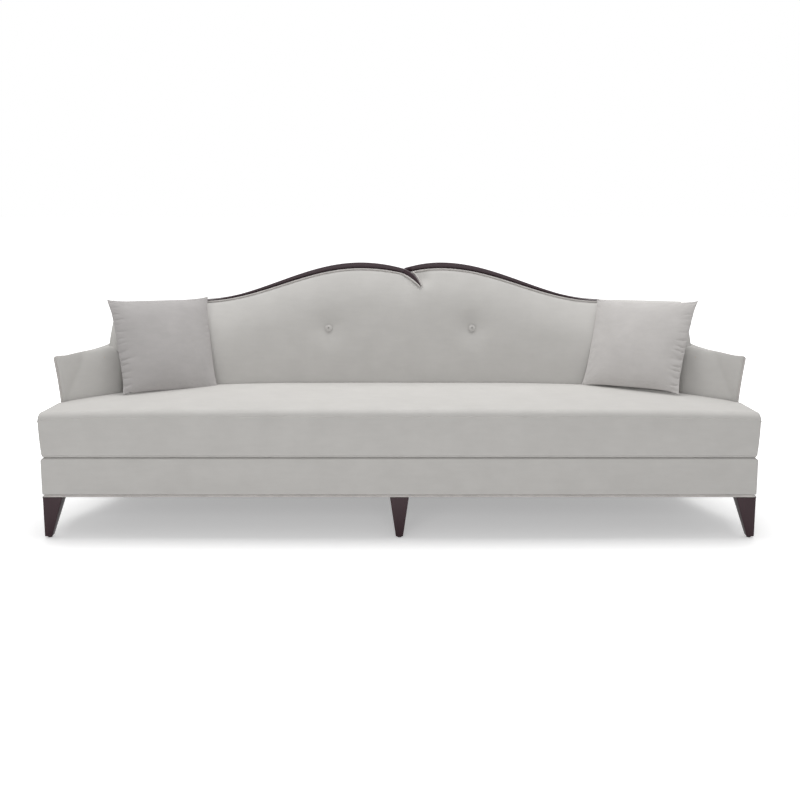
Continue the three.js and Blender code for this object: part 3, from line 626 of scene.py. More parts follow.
@dataclass(frozen=True)
class SofaLines:
    """The curves that the pieces follow. Depth runs from the cushion's front towards the back."""

    front: float
    half_width: float = 1.320
    peak_height: float = 0.962
    shoulder_share: float = 0.495
    arm_height: float = 0.648
    seat_height: float = 0.470
    base_top: float = 0.306
    base_bottom: float = 0.157
    arm_front: float = 0.245
    arm_blend: float = 0.030
    arm_lean: float = 0.28
    arm_thinnest: float = 0.020
    seat_depth: float = 0.560
    base_depth: float = 0.700
    inside_half: float = 1.314
    inside_power: float = 4.4
    inside_ease: float = 1.2
    rear_half: float = 1.207
    rear_corner: float = 0.562
    rear_sag: float = 0.140
    rear_power: float = 2.4
    rake: float = 0.197
    lean_middle: float = 0.051
    lean_end: float = 0.149
    face_swell: float = 0.016
    flare_top: float = 0.139
    flare_bottom: float = 0.111
    peak_offset: float = 0.172
    hump_run: float = 0.705
    notch_offset: float = 0.013
    notch_dip: float = 0.026
    crest_height: float = 0.0245
    notch_height: float = 0.0195
    crest_run: float = 0.680
    crest_end: float = 0.0006
    crest_taper: float = 1.8
    back_half: float = 1.188
    end_radius: float = 0.060
    pad_seam: float = 1.118
    roll_depth: float = 0.048
    roll_reach: float = 0.180
    tuft_offset: float = 0.304
    tuft_height: float = 0.692
    tuft_depth: float = 0.020

    def spot(self, x: float, depth: float, z: float) -> Vector:
        """The point at a place along the sofa, a depth and a height."""
        return Vector((x, self.front + depth, z))

    def inside_line(self, x: float) -> float:
        """The depth at which the inside back and the arms meet the seat."""
        reach = clamp(abs(x) / self.inside_half)
        return mix(self.arm_front, self.seat_depth, (1 - reach**self.inside_power) ** self.inside_ease)

    def inside_reach(self, depth: float) -> float:
        """How far out the inside line has got at a depth."""
        rise = clamp((depth - self.arm_front) / (self.seat_depth - self.arm_front))
        return self.inside_half * (1 - rise ** (1 / self.inside_ease)) ** (1 / self.inside_power)

    def rear_face(self, x: float, z: float) -> float:
        """The depth of the rear face, curved in plan and raked above the base."""
        bend = self.rear_sag * (abs(x) / self.rear_half) ** self.rear_power
        return self.base_depth - bend + self.rake * max(z - self.base_top, 0)

    def before_rear(self, x: float, z: float, distance: float) -> float:
        """The depth at a distance in front of the rear face."""
        out = abs(x) / self.rear_half
        slope = self.rear_sag * self.rear_power / self.rear_half * out ** (self.rear_power - 1)
        return self.rear_face(x, z) - distance * math.hypot(1, slope)

    def outer_face(self, depth: float, z: float) -> float:
        """How far out the outside of an arm, or of the base below it, lies at a depth.

        Args:
            depth: The depth behind the cushion's front.
            z: The height.

        Returns:
            The distance from the middle of the sofa.
        """
        along = clamp((depth - self.arm_front) / (self.rear_corner - self.arm_front))
        rise = clamp((z - self.base_top) / (self.arm_height - self.base_top))
        flare = mix(self.flare_bottom, self.flare_top, rise**2)
        return self.rear_half + flare * (1 - along) ** mix(1.8, 2.4, rise)

    def crest(self, x: float) -> float:
        """The height of the camel outline: two humps that meet in a notch.

        Args:
            x: The place along the sofa.

        Returns:
            The height in metres.
        """
        out = abs(x)
        if out >= self.peak_offset:
            turn = min((out - self.peak_offset) / self.hump_run, 1) * math.pi
            shoulder = mix(self.arm_height, self.peak_height, self.shoulder_share)
            return mix(shoulder, self.peak_height, (1 + math.cos(turn)) / 2)
        left = x < self.notch_offset
        run = self.peak_offset + (self.notch_offset if left else -self.notch_offset)
        gone = x + self.peak_offset if left else self.peak_offset - x
        return self.peak_height - self.notch_dip * (gone / run) ** 2

    @property
    def crest_reach(self) -> float:
        """How far out the crest rails end."""
        return self.peak_offset + self.crest_run

    def crest_face(self, x: float) -> float:
        """The height of a crest rail's face, which thins out towards the shoulders.

        Args:
            x: The place along the sofa.

        Returns:
            The height of the face alone.
        """
        beyond = abs(x) - self.peak_offset
        if beyond < 0:
            near = -beyond / self.peak_offset
            return mix(self.crest_height, self.notch_height, near**self.crest_taper)
        far = min(beyond / self.crest_run, 1)
        return mix(self.crest_height, self.crest_end, far**self.crest_taper)

    def pad_top(self, x: float) -> float:
        """The top of the inside back, under the rails or at the open shoulders."""
        return self.crest(x) - self.crest_face(x) - CLEARANCE

    def inside_face(self, x: float, z: float) -> float:
        """The depth of the inside back's face, without its tufts.

        Args:
            x: The place along the sofa.
            z: The height.

        Returns:
            The depth in metres.
        """
        out = abs(x)
        above = max(z - self.seat_height, 0)
        reach = mix(self.lean_middle, self.lean_end, (out / self.back_half) ** 3)
        leant = above * (self.rake + reach / (self.peak_height - self.seat_height))
        crest = self.crest(x)
        swell = self.face_swell * math.sin(clamp(above / (crest - self.seat_height)) * math.pi)
        rolled = self.roll_depth * clamp((z - crest + self.roll_reach) / self.roll_reach) ** 2
        end = clamp((out - (self.back_half - self.end_radius)) / self.end_radius)
        return self.inside_line(x) + leant - swell + rolled + drawn_in(self.end_radius, end)

    def roll_slope(self, x: float, z: float) -> float:
        """How fast the inside back's face runs back as it rises, at a place on it."""
        return (self.inside_face(x, z) - self.inside_face(x, z - SLOPE_STEP)) / SLOPE_STEP

    def arm_inside(self, depth: float, z: float) -> float:
        """How far out the inner face of an arm lies at a depth and height."""
        out = self.inside_reach(depth - self.arm_lean * max(z - self.seat_height, 0))
        blended = (out + self.pad_seam + math.hypot(out - self.pad_seam, self.arm_blend)) / 2
        return min(blended, self.outer_face(depth, z) - self.arm_thinnest)


# Back


@dataclass(frozen=True)
class TailPlace:
    """A place on a crest rail: its middle, half its height, its slope, its front and its rear."""

    x: float
    z: float
    half: float
    slope: float
    front: float
    rear: float


@dataclass
class CrestRails:
    """The two show-wood rails on top of the back, with their welts."""

    lines: SofaLines
    proud: float = 0.005
    tail_proud: float = 0.009
    tail_depth: float = 0.013
    tail_bend: Pair = (0.058, 0.9045)
    tail_tip: Pair = (0.0875, 0.8655)
    tail_swell: float = 0.0026
    fall: float = 0.12
    edge: float = 0.0045
    face_crown: float = 0.0022
    let_back: Pair = (0.030, 0.022)
    brow: float = 0.012
    welt_radius: float = 0.0034
    welt_slack: float = 0.0010
    bedding: float = 0.65

    def tail_point(self, share: float) -> tuple[Vector, Vector]:
        """A point of the tail's middle line and the way it runs there.

        Args:
            share: 0 at the notch, 1 at the tip.

        Returns:
            The point and the run, as X and Z.
        """
        x = self.lines.notch_offset
        root = Vector((x, self.lines.crest(x) - self.lines.notch_height / 2))
        bend, tip = Vector(self.tail_bend), Vector(self.tail_tip)
        point = root * (1 - share) ** 2 + bend * (2 * share * (1 - share)) + tip * share**2
        run = (bend - root) * (2 * (1 - share)) + (tip - bend) * (2 * share)
        return point, run.normalized()

    def tail_place(self, share: float) -> TailPlace:
        """A place on the tail, which thins as it runs down over the inside back.

        Args:
            share: 0 at the notch, 1 at the tip.

        Returns:
            The place.
        """
        middle, run = self.tail_point(share)
        swell = self.tail_swell * math.sin(share * math.pi)
        middle = middle + Vector((-run.y, run.x)) * swell
        half = swell + mix(self.lines.notch_height, self.lines.crest_end, share**1.5) / 2
        front = self.lines.inside_face(middle.x, middle.y) - self.tail_proud
        return TailPlace(middle.x, middle.y, half, math.atan2(run.y, run.x), front, front + self.tail_depth)

    def cap_place(self, x: float, proud: float, slope_share: float = 1.0) -> TailPlace:
        """A place on the part of a rail that caps a hump.

        Args:
            x: The place along the sofa.
            proud: How far it stands before the inside back.
            slope_share: How far its section is turned square to the outline, 0 to 1.

        Returns:
            The place.
        """
        half = self.lines.crest_face(x) / 2
        rise = self.lines.crest(x) - self.lines.crest(x - SLOPE_STEP)
        slope = slope_share * math.atan(rise / SLOPE_STEP)
        z = self.lines.crest(x) - half
        front = self.lines.inside_face(x, z) - proud
        return TailPlace(x, z, half, slope, front, self.lines.rear_face(x, z))

    def ring(self, place: TailPlace) -> Ring:
        """The rounded section across a rail at a place, with a faintly crowned front.

        Args:
            place: The place.

        Returns:
            The section's points.
        """
        edge = min(self.edge, place.half * 0.9)
        crown = min(self.face_crown, place.half * 0.25)
        fall = min((place.rear - place.front) * self.fall, place.half)
        corners = [
            (place.front + crown, -place.half, edge),
            (place.front + crown, place.half, edge * 1.3),
            (place.rear, place.half - fall, edge * 0.6),
            (place.rear, -place.half, edge * 0.3),
        ]
        ring = []
        for depth, height in section(corners, 5, (6, 5, 2, 5)):
            swell = crown * (1 - (height / place.half) ** 2) if depth < place.front + edge * 1.3 else 0
            x = place.x - math.sin(place.slope) * height
            ring.append(self.lines.spot(x, depth - swell, place.z + math.cos(place.slope) * height))
        return ring

    def left_places(self) -> list[TailPlace]:
        """The left rail's places, from the left shoulder over the hump to the tip of its tail."""
        lines = self.lines
        places = []
        for x in spread(-lines.crest_reach, -lines.peak_offset, 70)[:-1]:
            places.append(self.cap_place(x, self.proud, 0))
        for x in spread(-lines.peak_offset, lines.notch_offset, 26):
            near = eased((x + lines.peak_offset) / (lines.notch_offset + lines.peak_offset))
            places.append(self.cap_place(x, mix(self.proud, self.tail_proud, near), near))
        return places + [self.tail_place(share) for share in spread(0.03, 1, 40)]

    def right_places(self) -> list[TailPlace]:
        """The right rail's places. Its start is let back, so that the tail passes over it."""
        start, run = self.let_back
        under_tail = self.tail_proud - self.tail_depth - 0.001
        places = []
        for x in spread(self.lines.notch_offset + 0.004, self.lines.crest_reach, 110):
            places.append(self.cap_place(x, mix(under_tail, self.proud, eased((x - start) / run)), 0))
        return places

    def beside(self, place: TailPlace, side: float) -> Vector:
        """Where a welt lies against a rail, on its lower side (-1) or its upper side (1).

        Args:
            place: The rail's place.
            side: -1 or 1.

        Returns:
            The point of the welt's middle line.
        """
        room = self.welt_radius + self.welt_slack
        away = side * (place.half + room)
        x = place.x - math.sin(place.slope) * away
        z = place.z + math.cos(place.slope) * away
        lines = self.lines
        bedded = room * self.bedding
        brow = lines.pad_top(x) - self.brow
        slope = lines.roll_slope(x, brow) + 1
        nested = lines.inside_face(x, brow) + (z - brow) * slope - bedded * math.hypot(1, slope)
        on_face = lines.inside_face(x, z) - bedded * math.hypot(1, lines.roll_slope(x, z))
        return lines.spot(x, max(nested, on_face), z)

    def build(self) -> None:
        """Makes both rails and the welt along each."""
        lines = self.lines
        for word, places in (("left", self.left_places()), ("right", self.right_places())):
            tag = Tag(f"crest_rail_{word}_carved", RAIL_WOOD, (f"crest_rail_{word}",))
            make_piece(sleeve([self.ring(place) for place in places]), tag)
        reach = lines.crest_reach - 0.006
        left = [self.beside(self.cap_place(x, 0, 1), -1) for x in spread(-reach, 0.002, 150)]
        left += [self.beside(self.tail_place(share), -1) for share in spread(0.03, 1, 30)]
        rising = []
        for share in spread(1, 0.1, 60):
            rising.append(self.beside(self.tail_place(share), 1))
            if rising[-1].z > lines.pad_top(rising[-1].x) - self.welt_radius - self.welt_slack:
                break
        start = rising[-1].x - 0.001
        level = [self.beside(self.cap_place(x, 0, 1), -1) for x in spread(start, reach, 160)]
        for word, paths in (("left", [left]), ("right", [rising, level])):
            cord = joined([tube(path, self.welt_radius) for path in paths])
            make_piece(cord, Tag(f"crest_cord_{word}", WELT_VELVET, (f"crest_welt_{word}",)))


@dataclass
class InsideBack:
    """The inside back in one piece, its two tufts and their covered buttons."""

    lines: SofaLines
    top_radius: float = 0.020
    rear_gap: float = 0.046
    lip: float = 0.006
    wing: float = 1.1766
    wing_foot: float = 0.020
    dish_reach: float = 0.060
    well_reach: float = 0.020
    well_share: float = 0.20
    pinch_depth: float = 0.013
    pinch_place: Pair = (0.094, 0.892)
    pinch_reach: float = 0.026
    button_radius: float = 0.0150
    button_proud: float = 0.0055
    button_lean: float = 0.3
    button_profile: tuple[Pair, ...] = (
        (1.0, 0.0018),
        (0.99, 0.0032),
        (0.93, 0.0042),
        (0.84, 0.0040),
        (0.78, 0.0044),
        (0.55, 0.0062),
        (0.25, 0.0070),
        (0.06, 0.0070),
    )

    def tuft(self, x: float, z: float) -> float:
        """How deep the buttons pull the face in: a small well inside a wide dish."""
        distance = math.hypot(abs(x) - self.lines.tuft_offset, z - self.lines.tuft_height)
        dish = bump(distance, self.dish_reach)
        return self.lines.tuft_depth * mix(dish, bump(distance, self.well_reach), self.well_share)

    def pinch(self, x: float, z: float) -> float:
        """How deep the face is drawn in at the corner between the tail and the right rail."""
        middle_x, middle_z = self.pinch_place
        distance = math.hypot((x - middle_x) * 0.8, z - middle_z)
        return self.pinch_depth * bump(distance, self.pinch_reach)

    def face(self, x: float, z: float) -> float:
        """The depth of the finished face."""
        return self.lines.inside_face(x, z) + self.tuft(x, z) + self.pinch(x, z)

    def ring(self, x: float) -> Ring:
        """One upright section: up the face, over the rolled top and down the rear.

        Args:
            x: The place along the sofa.

        Returns:
            The section's points.
        """
        lines = self.lines
        top = lines.pad_top(x)
        low = lines.base_top if abs(x) <= lines.pad_seam else lines.arm_height - self.wing_foot
        roll = self.top_radius
        ring = [lines.spot(x, self.face(x, z), z) for z in spread(low, top - roll, 62)]
        for rise, run in quarter(11):
            z = top - roll + roll * rise
            ring.append(lines.spot(x, self.face(x, z) + roll * run, z))
        ring.append(lines.spot(x, lines.before_rear(x, top, REAR_ROOM), top))
        gap = REAR_ROOM if abs(x) > self.wing else self.rear_gap
        for z in spread(top - self.lip - 0.0002, low, 4):
            ring.append(lines.spot(x, lines.before_rear(x, z, gap), z))
        return ring

    def button(self, side: Side) -> bmesh.types.BMesh:
        """One covered button: a domed cap with a rim, pulled to the floor of its tuft.

        Args:
            side: The end of the sofa.

        Returns:
            The closed mesh, in its place.
        """
        bm = bmesh.new()
        foot = self.button_radius * 0.86
        bmesh.ops.create_circle(bm, cap_ends=True, cap_tris=False, segments=36, radius=foot)
        face = next(iter(bm.faces))
        for share, height in self.button_profile:
            grown = bmesh.ops.extrude_face_region(bm, geom=[face])
            face = next(item for item in grown["geom"] if isinstance(item, bmesh.types.BMFace))
            for vert in face.verts:
                flat = Vector((vert.co.x, vert.co.y, 0)).normalized() * self.button_radius * share
                vert.co = Vector((flat.x, flat.y, height))
        close(bm)
        lines = self.lines
        x = side.value * lines.tuft_offset
        depth = self.face(x, lines.tuft_height) - self.button_proud
        turn = Matrix.Rotation(math.pi / 2 - math.atan(self.button_lean), 4, "X")
        place = Matrix.Translation(lines.spot(x, depth, lines.tuft_height))
        bmesh.ops.transform(bm, matrix=place @ turn, verts=bm.verts)
        return bm

    def build(self) -> None:
        """Makes the pad and the buttons."""
        half, radius = self.lines.back_half, self.lines.end_radius
        ends = [half - radius * (1 - math.sin(turn)) for turn in spread(math.pi / 2, 0, 12)]
        places = [-x for x in ends] + spread(-ends[-1], ends[-1], 300)[1:-1] + ends[::-1]
        pad = sleeve([self.ring(x) for x in places])
        make_piece(pad, Tag("inside_back_upholstery", VELVET, ("back_pad",), fill=0.75, crease=60))
        for side in Side:
            tag = Tag(f"covered_button_{side.word}", VELVET, (f"tuft_button_{side.word}",))
            make_piece(self.button(side), tag)


@dataclass
class OutsideBack:
    """The padded panel on the rear of the back."""

    lines: SofaLines
    edge: float = 0.006
    small_edge: float = 0.002
    puff: float = 0.002

    def build(self) -> None:
        """Makes the panel, from shoulder to shoulder."""
        lines = self.lines
        reach = lines.rear_half - COVER - CLEARANCE
        rings = []
        for x in spread(-reach, reach, 240):
            low, top = lines.base_top, lines.pad_top(x)
            corners = [
                (0.0, low, self.small_edge),
                (0.0, top, self.edge),
                (COVER, top, self.small_edge),
                (COVER, low, self.small_edge),
            ]
            ring = []
            for offset, z in section(corners, 4, (30, 1, 3, 1)):
                puff = self.puff * math.sin(clamp((z - low) / (top - low)) * math.pi) ** 0.5
                shift = puff if offset < self.edge else 0
                ring.append(lines.spot(x, lines.before_rear(x, z, offset) + shift, z))
            rings.append(ring)
        make_piece(sleeve(rings), Tag("outside_back_cover", VELVET, ("outside_back",), fill=0.3))


# Arms


@dataclass
class Arm:
    """One arm: the inner pad with its crown, the outside panel and the welt on its edges."""

    lines: SofaLines
    side: Side
    crown: float = 0.040
    crown_drop: float = 0.085
    shoulder: float = 0.012
    drop: float = 0.010
    seam: float = 0.6226
    panel_top: float = 0.618
    lip: float = 0.0092
    nose: float = 0.005
    panel_nose: float = 0.009
    front_reach: Pair = (0.012, 0.070)
    pad_reach: float = 0.4
    welt_radius: float = 0.0040
    welt_inset: float = 0.0105
    welt_corner: float = 0.011

    def top(self, depth: float) -> float:
        """The height of the arm's crown at a depth, lower at the front."""
        along = clamp((depth - self.lines.arm_front) / (self.lines.base_depth - self.lines.arm_front))
        return self.lines.arm_height - self.drop * (1 - along) ** 3

    def forward(self, depth: float) -> float:
        """How near a depth is to the front edge: 1 at the edge, 0 well behind it."""
        start, run = self.front_reach
        return 1 - eased((depth - self.lines.arm_front - start) / run)

    def profile(self, depth: float) -> list[Pair]:
        """The section across the arm at a depth, as how far out and how high its points are.

        Args:
            depth: The depth behind the cushion's front.

        Returns:
            The points, up the inner face, over the crown and down again.
        """
        lines = self.lines
        top = self.top(depth)
        forward = self.forward(depth)
        covered = COVER + CLEARANCE
        edge = lines.outer_face(depth, top) - covered * forward
        width = edge - lines.arm_inside(depth, top)
        crown = min(self.crown, width * 0.55)
        shoulder = min(mix(self.shoulder, 0.004, forward), width * 0.33)
        lip = mix(self.panel_top + self.lip, top - 0.006, forward)
        inner = spread(lines.base_top, top - self.crown_drop, 22)
        points = [(lines.arm_inside(depth, z), z) for z in inner]
        start = lines.arm_inside(depth, top)
        for rise, run in quarter(14):
            z = top - self.crown_drop * (1 - rise)
            points.append((lines.arm_inside(depth, z) + crown * run, z))
        for share in spread(0, 1, 4)[1:-1]:
            points.append((mix(start + crown, edge - shoulder, share), top))
        for turn in spread(0, math.pi / 2, 6):
            out = edge - shoulder * (1 - math.sin(turn))
            points.append((out, top - shoulder * (1 - math.cos(turn))))
        points.append((edge, lip))
        inside = spread(lip, lines.base_top, 5)
        return points + [(lines.outer_face(depth, z) - covered, z) for z in inside]

    def pad(self) -> bmesh.types.BMesh:
        """The inner pad as a closed sleeve from the front edge to the rear of the sofa."""
        lines = self.lines
        rings = []
        nose = self.nose
        stations = [nose * (1 - math.cos(turn)) for turn in spread(0, math.pi / 2, 5)]
        stations += [nose + self.pad_reach * share**1.5 for share in spread(0, 1, 60)][1:]
        for gone in stations:
            tuck = drawn_in(nose, 1 - min(gone / nose, 1))
            depth = lines.arm_front + gone
            ring = []
            for x, z in self.profile(depth):
                limit = lines.before_rear(x, z, REAR_ROOM)
                inwards = (lines.arm_inside(depth, z) + lines.outer_face(depth, z)) / 2 - x
                pull = 0.0
                if abs(inwards) > MERGE:
                    pull = math.copysign(min(tuck, abs(inwards)), inwards)
                ring.append(lines.spot(self.side.value * (x + pull), min(depth, limit), z))
            rings.append(ring)
        return sleeve(rings)

    def panel(self) -> bmesh.types.BMesh:
        """The outside panel, which rises to the top of the arm at its front edge."""
        lines = self.lines
        rings = []
        nose = self.panel_nose
        near = [nose * (1 - math.cos(turn)) for turn in spread(0, math.pi / 2, 7)]
        foot = lines.rear_face(lines.rear_half, lines.base_top)
        reach = foot - lines.arm_front
        for gone in near + [mix(nose, reach, share**1.5) for share in spread(0, 1, 60)][1:]:
            tuck = drawn_in(nose, 1 - min(gone / nose, 1))
            forward = self.forward(lines.arm_front + gone)
            top = mix(self.panel_top, self.top(lines.arm_front + gone) - 0.0015, forward)
            corners = [
                (0.0, lines.base_top, 0.003),
                (0.0, top, mix(0.004, 0.0115, forward)),
                (-COVER, top, 0.0015),
                (-COVER, lines.base_top, 0.001),
            ]
            ring = []
            for inwards, z in section(corners, 5, (20, 1, 2, 1)):
                raked = lines.rear_face(lines.rear_half, z) - foot
                depth = lines.arm_front + gone + raked * gone / reach
                x = lines.outer_face(depth, z) + inwards - tuck * (1 + inwards / COVER)
                ring.append(lines.spot(self.side.value * x, depth, z))
            rings.append(ring)
        return sleeve(rings)

    def welt(self) -> bmesh.types.BMesh:
        """The welt up the front edge, round its top corner and back along the seam."""
        lines = self.lines
        radius, corner = self.welt_radius, self.welt_corner
        near = lines.arm_front - radius * 0.2
        head = self.top(near) - corner - 0.002
        path = []
        for z in spread(lines.base_top + 0.004, head, 44):
            out = lines.outer_face(lines.arm_front, z) - self.welt_inset
            path.append(lines.spot(self.side.value * out, near, z))
        out = lines.outer_face(near, head) - self.welt_inset
        for rise, run in quarter(7):
            path.append(lines.spot(self.side.value * out, near + corner * run, head + corner * rise))
        rear = lines.rear_face(lines.rear_half, self.seam) - 0.006
        for depth in spread(near + 0.014, rear, 70):
            forward = self.forward(depth)
            z = mix(self.seam, self.top(depth) - 0.002, forward)
            out = lines.outer_face(depth, z) - mix(radius * 0.6, self.welt_inset, forward)
            path.append(lines.spot(self.side.value * out, depth, z))
        return tube(path, radius)

    def build(self) -> None:
        """Makes the three pieces of the arm."""
        word = self.side.word
        pad = Tag(f"arm_upholstery_{word}", VELVET, (f"arm_pad_{word}",), fill=0.7)
        # The outside panel takes the darker velvet: painted shade along the arm's outer front edge.
        panel = Tag(f"outside_arm_cover_{word}", PAINTED_SHADE_ARM_VELVET, (f"outside_arm_{word}",), fill=0.3)
        make_piece(self.pad(), pad)
        make_piece(self.panel(), panel)
        make_piece(self.welt(), Tag(f"arm_cord_{word}", WELT_VELVET, (f"arm_welt_{word}",)))


# Seat


@dataclass
class SeatCushion:
    """The loose bench cushion: crowned top, boxed front with rolled edges, and sewn seams."""

    lines: SofaLines
    bottom: float = 0.3063
    thickness: float = 0.167
    crown: float = 0.012
    fall: float = 0.009
    roll: float = 0.024
    roll_reach: float = 0.030
    foot: float = 0.009
    end_radius: float = 0.009
    end_lean: float = 0.009
    heel: float = 1.5
    rear_gap: float = 0.004
    rear_start: float = 0.93
    rear_roll: float = 0.030
    corner: Pair = (1.276, 0.024)
    corner_depth: float = 0.232
    front_inset: float = 0.003
    seam_radius: float = 0.0019

    def rear(self, x: float) -> float:
        """The depth of the rear edge, which follows the inside back and clears the arms."""
        start, run = self.corner
        free = self.lines.inside_line(x) - self.rear_gap
        return min(free, mix(free, self.corner_depth, eased((abs(x) - start) / run)))

    def top(self, x: float, share: float) -> float:
        """The height of the top from front (0) to rear (1), highest in the middle."""
        crown = self.crown * (1 - abs(x / self.lines.half_width) ** 4)
        level = self.bottom + self.thickness - self.fall * share
        return level + crown * (1 + 0.34 * math.sin(share * math.pi))

    def profile(self, x: float, draw: float) -> list[Pair]:
        """The section's line: up the boxing, over the crown, down the rear and back below.

        Args:
            x: The place along the sofa.
            draw: How far the rounded end has drawn the section in.

        Returns:
            The points, in depth and height.
        """
        low = self.bottom + draw * self.heel
        near = self.front_inset + draw * 0.5
        rear = self.rear(x) - draw * 0.5
        seam = self.top(x, 0) - draw - self.roll
        line = []
        for share in spread(0, 1, 18):
            bulge = self.front_inset * math.sin(share * math.pi)
            line.append((near - bulge, mix(low + self.foot, seam, share)))
        for rise, run in quarter(12):
            line.append((near + self.roll_reach * run, seam + self.roll * rise))
        for share in spread(self.roll_reach / (rear - near), self.rear_start, 34)[1:]:
            line.append((mix(near, rear, share), self.top(x, share) - draw))
        back = (1 - self.rear_start) * (rear - near)
        high = self.top(x, self.rear_start) - draw
        for rise, run in quarter(8):
            line.append((rear - back * (1 - rise), high - self.rear_roll * run))
        for share in spread(0, 1, 8)[1:]:
            line.append((rear, mix(high - self.rear_roll, low + self.foot, share)))
        for rise, run in quarter(5):
            line.append((rear - self.foot * run, low + self.foot * (1 - rise)))
        for share in spread(0, 1, 16)[1:]:
            line.append((mix(rear - self.foot, near + self.foot, share), low))
        for rise, run in quarter(5)[:-1]:
            line.append((near + self.foot * (1 - rise), low + self.foot * run))
        return line

    def ring(self, x: float, draw: float) -> Ring:
        """One upright section in its place, with the ends leaning in below.

        Args:
            x: The place along the sofa.
            draw: How far the rounded end has drawn the section in.

        Returns:
            The section's points.
        """
        ring = []
        for depth, z in self.profile(x, draw):
            fallen = clamp((self.top(x, 0) - self.roll - z) / self.thickness)
            leant = x * (1 - self.end_lean / self.lines.half_width * fallen)
            soft = 0.0010 * noise.noise(Vector((x * 5, depth * 6, z * 4)))
            upper = eased((z - self.bottom) / self.thickness * 2 - 1)
            ring.append(self.lines.spot(leant, depth, z + soft * upper))
        return ring

    def stations(self) -> list[Pair]:
        """Places along the cushion, each with how far its section is drawn in."""
        flat = self.lines.half_width - self.end_radius
        ends = [(flat + self.end_radius * rise, self.end_radius * run) for rise, run in quarter(9)]
        middle = [(x, 0.0) for x in spread(-flat, flat, 260)]
        return [(-x, draw) for x, draw in reversed(ends)] + middle + ends

    def seam(self, high: bool) -> bmesh.types.BMesh:
        """The self-welt along the upper or the lower edge of the front and the ends.

        Args:
            high: Whether it is the upper one.

        Returns:
            The closed mesh.
        """
        lines = self.lines
        path = []
        for x, draw in self.stations():
            top = self.top(x, 0) - draw - self.roll
            z = top if high else self.bottom + draw * self.heel + self.foot * 0.8
            near = self.front_inset + draw * 0.5 + (0 if high else self.foot * 0.02)
            leant = 1 - (0 if high else self.end_lean * 0.95) / lines.half_width
            path.append(lines.spot(x * leant, near + self.seam_radius * 0.2, z))
        return tube(path, self.seam_radius, 8)

    def build(self) -> None:
        """Makes the cushion and its seams."""
        cushion = sleeve([self.ring(x, draw) for x, draw in self.stations()])
        tag = Tag("bench_cushion", SEAT_VELVET, ("seat_cushion",), Body.CUSHION, fill=0.8, crease=80)
        make_piece(cushion, tag)
        seams = joined([self.seam(True), self.seam(False)])
        make_piece(seams, Tag("bench_cushion_seams", SEAT_VELVET, (), Body.CUSHION))


@dataclass(frozen=True)
class Stuffing:
    """A filling that swells a gathered cloth case between its seams."""

    pressure: float = 4.0
    steps: int = 20
    cap: float = 0.030
    weight: float = 0.004
    stiffness: float = 14.0
    bending: float = 0.02

    def swell(self, bm: bmesh.types.BMesh, sewn: Callable[[Vector], float]) -> bmesh.types.BMesh:
        """Swells a closed case by cloth simulation.

        Args:
            bm: The slack case. It is freed.
            sewn: How firmly the seam holds a point, from 0 to 1.

        Returns:
            The swollen case, with no point moved further than the cap.
        """
        mesh = bpy.data.meshes.new("case")
        bm.to_mesh(mesh)
        bm.free()
        case = bpy.data.objects.new("case", mesh)
        bpy.context.scene.collection.objects.link(case)
        held = case.vertex_groups.new(name="sewn")
        for vert in mesh.vertices:
            held.add([vert.index], sewn(vert.co), "REPLACE")
        cloth = case.modifiers.new("filling", "CLOTH")
        settings = cloth.settings
        for name, value in (
            ("quality", 5),
            ("mass", self.weight),
            ("air_damping", 1.0),
            ("tension_stiffness", self.stiffness),
            ("compression_stiffness", self.stiffness),
            ("shear_stiffness", self.stiffness / 3),
            ("bending_stiffness", self.bending),
            ("use_pressure", True),
            ("uniform_pressure_force", self.pressure),
            ("vertex_group_mass", held.name),
        ):
            setattr(settings, name, value)
        settings.effector_weights.gravity = 0.0
        cloth.point_cache.frame_start = 1
        cloth.point_cache.frame_end = self.steps
        for step in range(1, self.steps + 1):
            bpy.context.scene.frame_set(step)
        shaped = case.evaluated_get(bpy.context.evaluated_depsgraph_get())
        ends = [vert.co.copy() for vert in shaped.data.vertices]
        swollen = bmesh.new()
        swollen.from_mesh(mesh)
        furthest = 0.0
        for vert, end in zip(swollen.verts, ends):
            move = end - vert.co
            furthest = max(furthest, move.length)
            kept = self.cap * math.tanh(move.length / self.cap)
            vert.co += move * (kept / max(move.length, MERGE))
        LOG.info("filled a case, its cloth moved up to %.1f mm", furthest * 1000)
        bpy.data.objects.remove(case)
        bpy.data.meshes.remove(mesh)
        bpy.context.scene.frame_set(1)
        return swollen


@dataclass(frozen=True)
class Resting:
    """Where a pillow rests: its middle, its width and height, and how it is turned."""

    offset: float
    depth: float
    height: float
    size: Pair
    turn: float
    lean: float
    roll: float
    pulls: tuple[Pair, Pair, Pair, Pair]

    def pulled(self, u: float, v: float) -> Pair:
        """How far the corners pull a point outwards and upwards.

        Args:
            u: -1 to 1 across, 1 at the outer edge.
            v: -1 to 1 upwards.

        Returns:
            The two shifts in metres. The corners come as outer top, inner top, outer foot and
            inner foot.
        """
        shares = [(1 + u * outer) * (1 + v * upper) / 4 for upper in (1, -1) for outer in (1, -1)]
        out, up = (sum(s * pull[i] for s, pull in zip(shares, self.pulls)) for i in (0, 1))
        return out, up


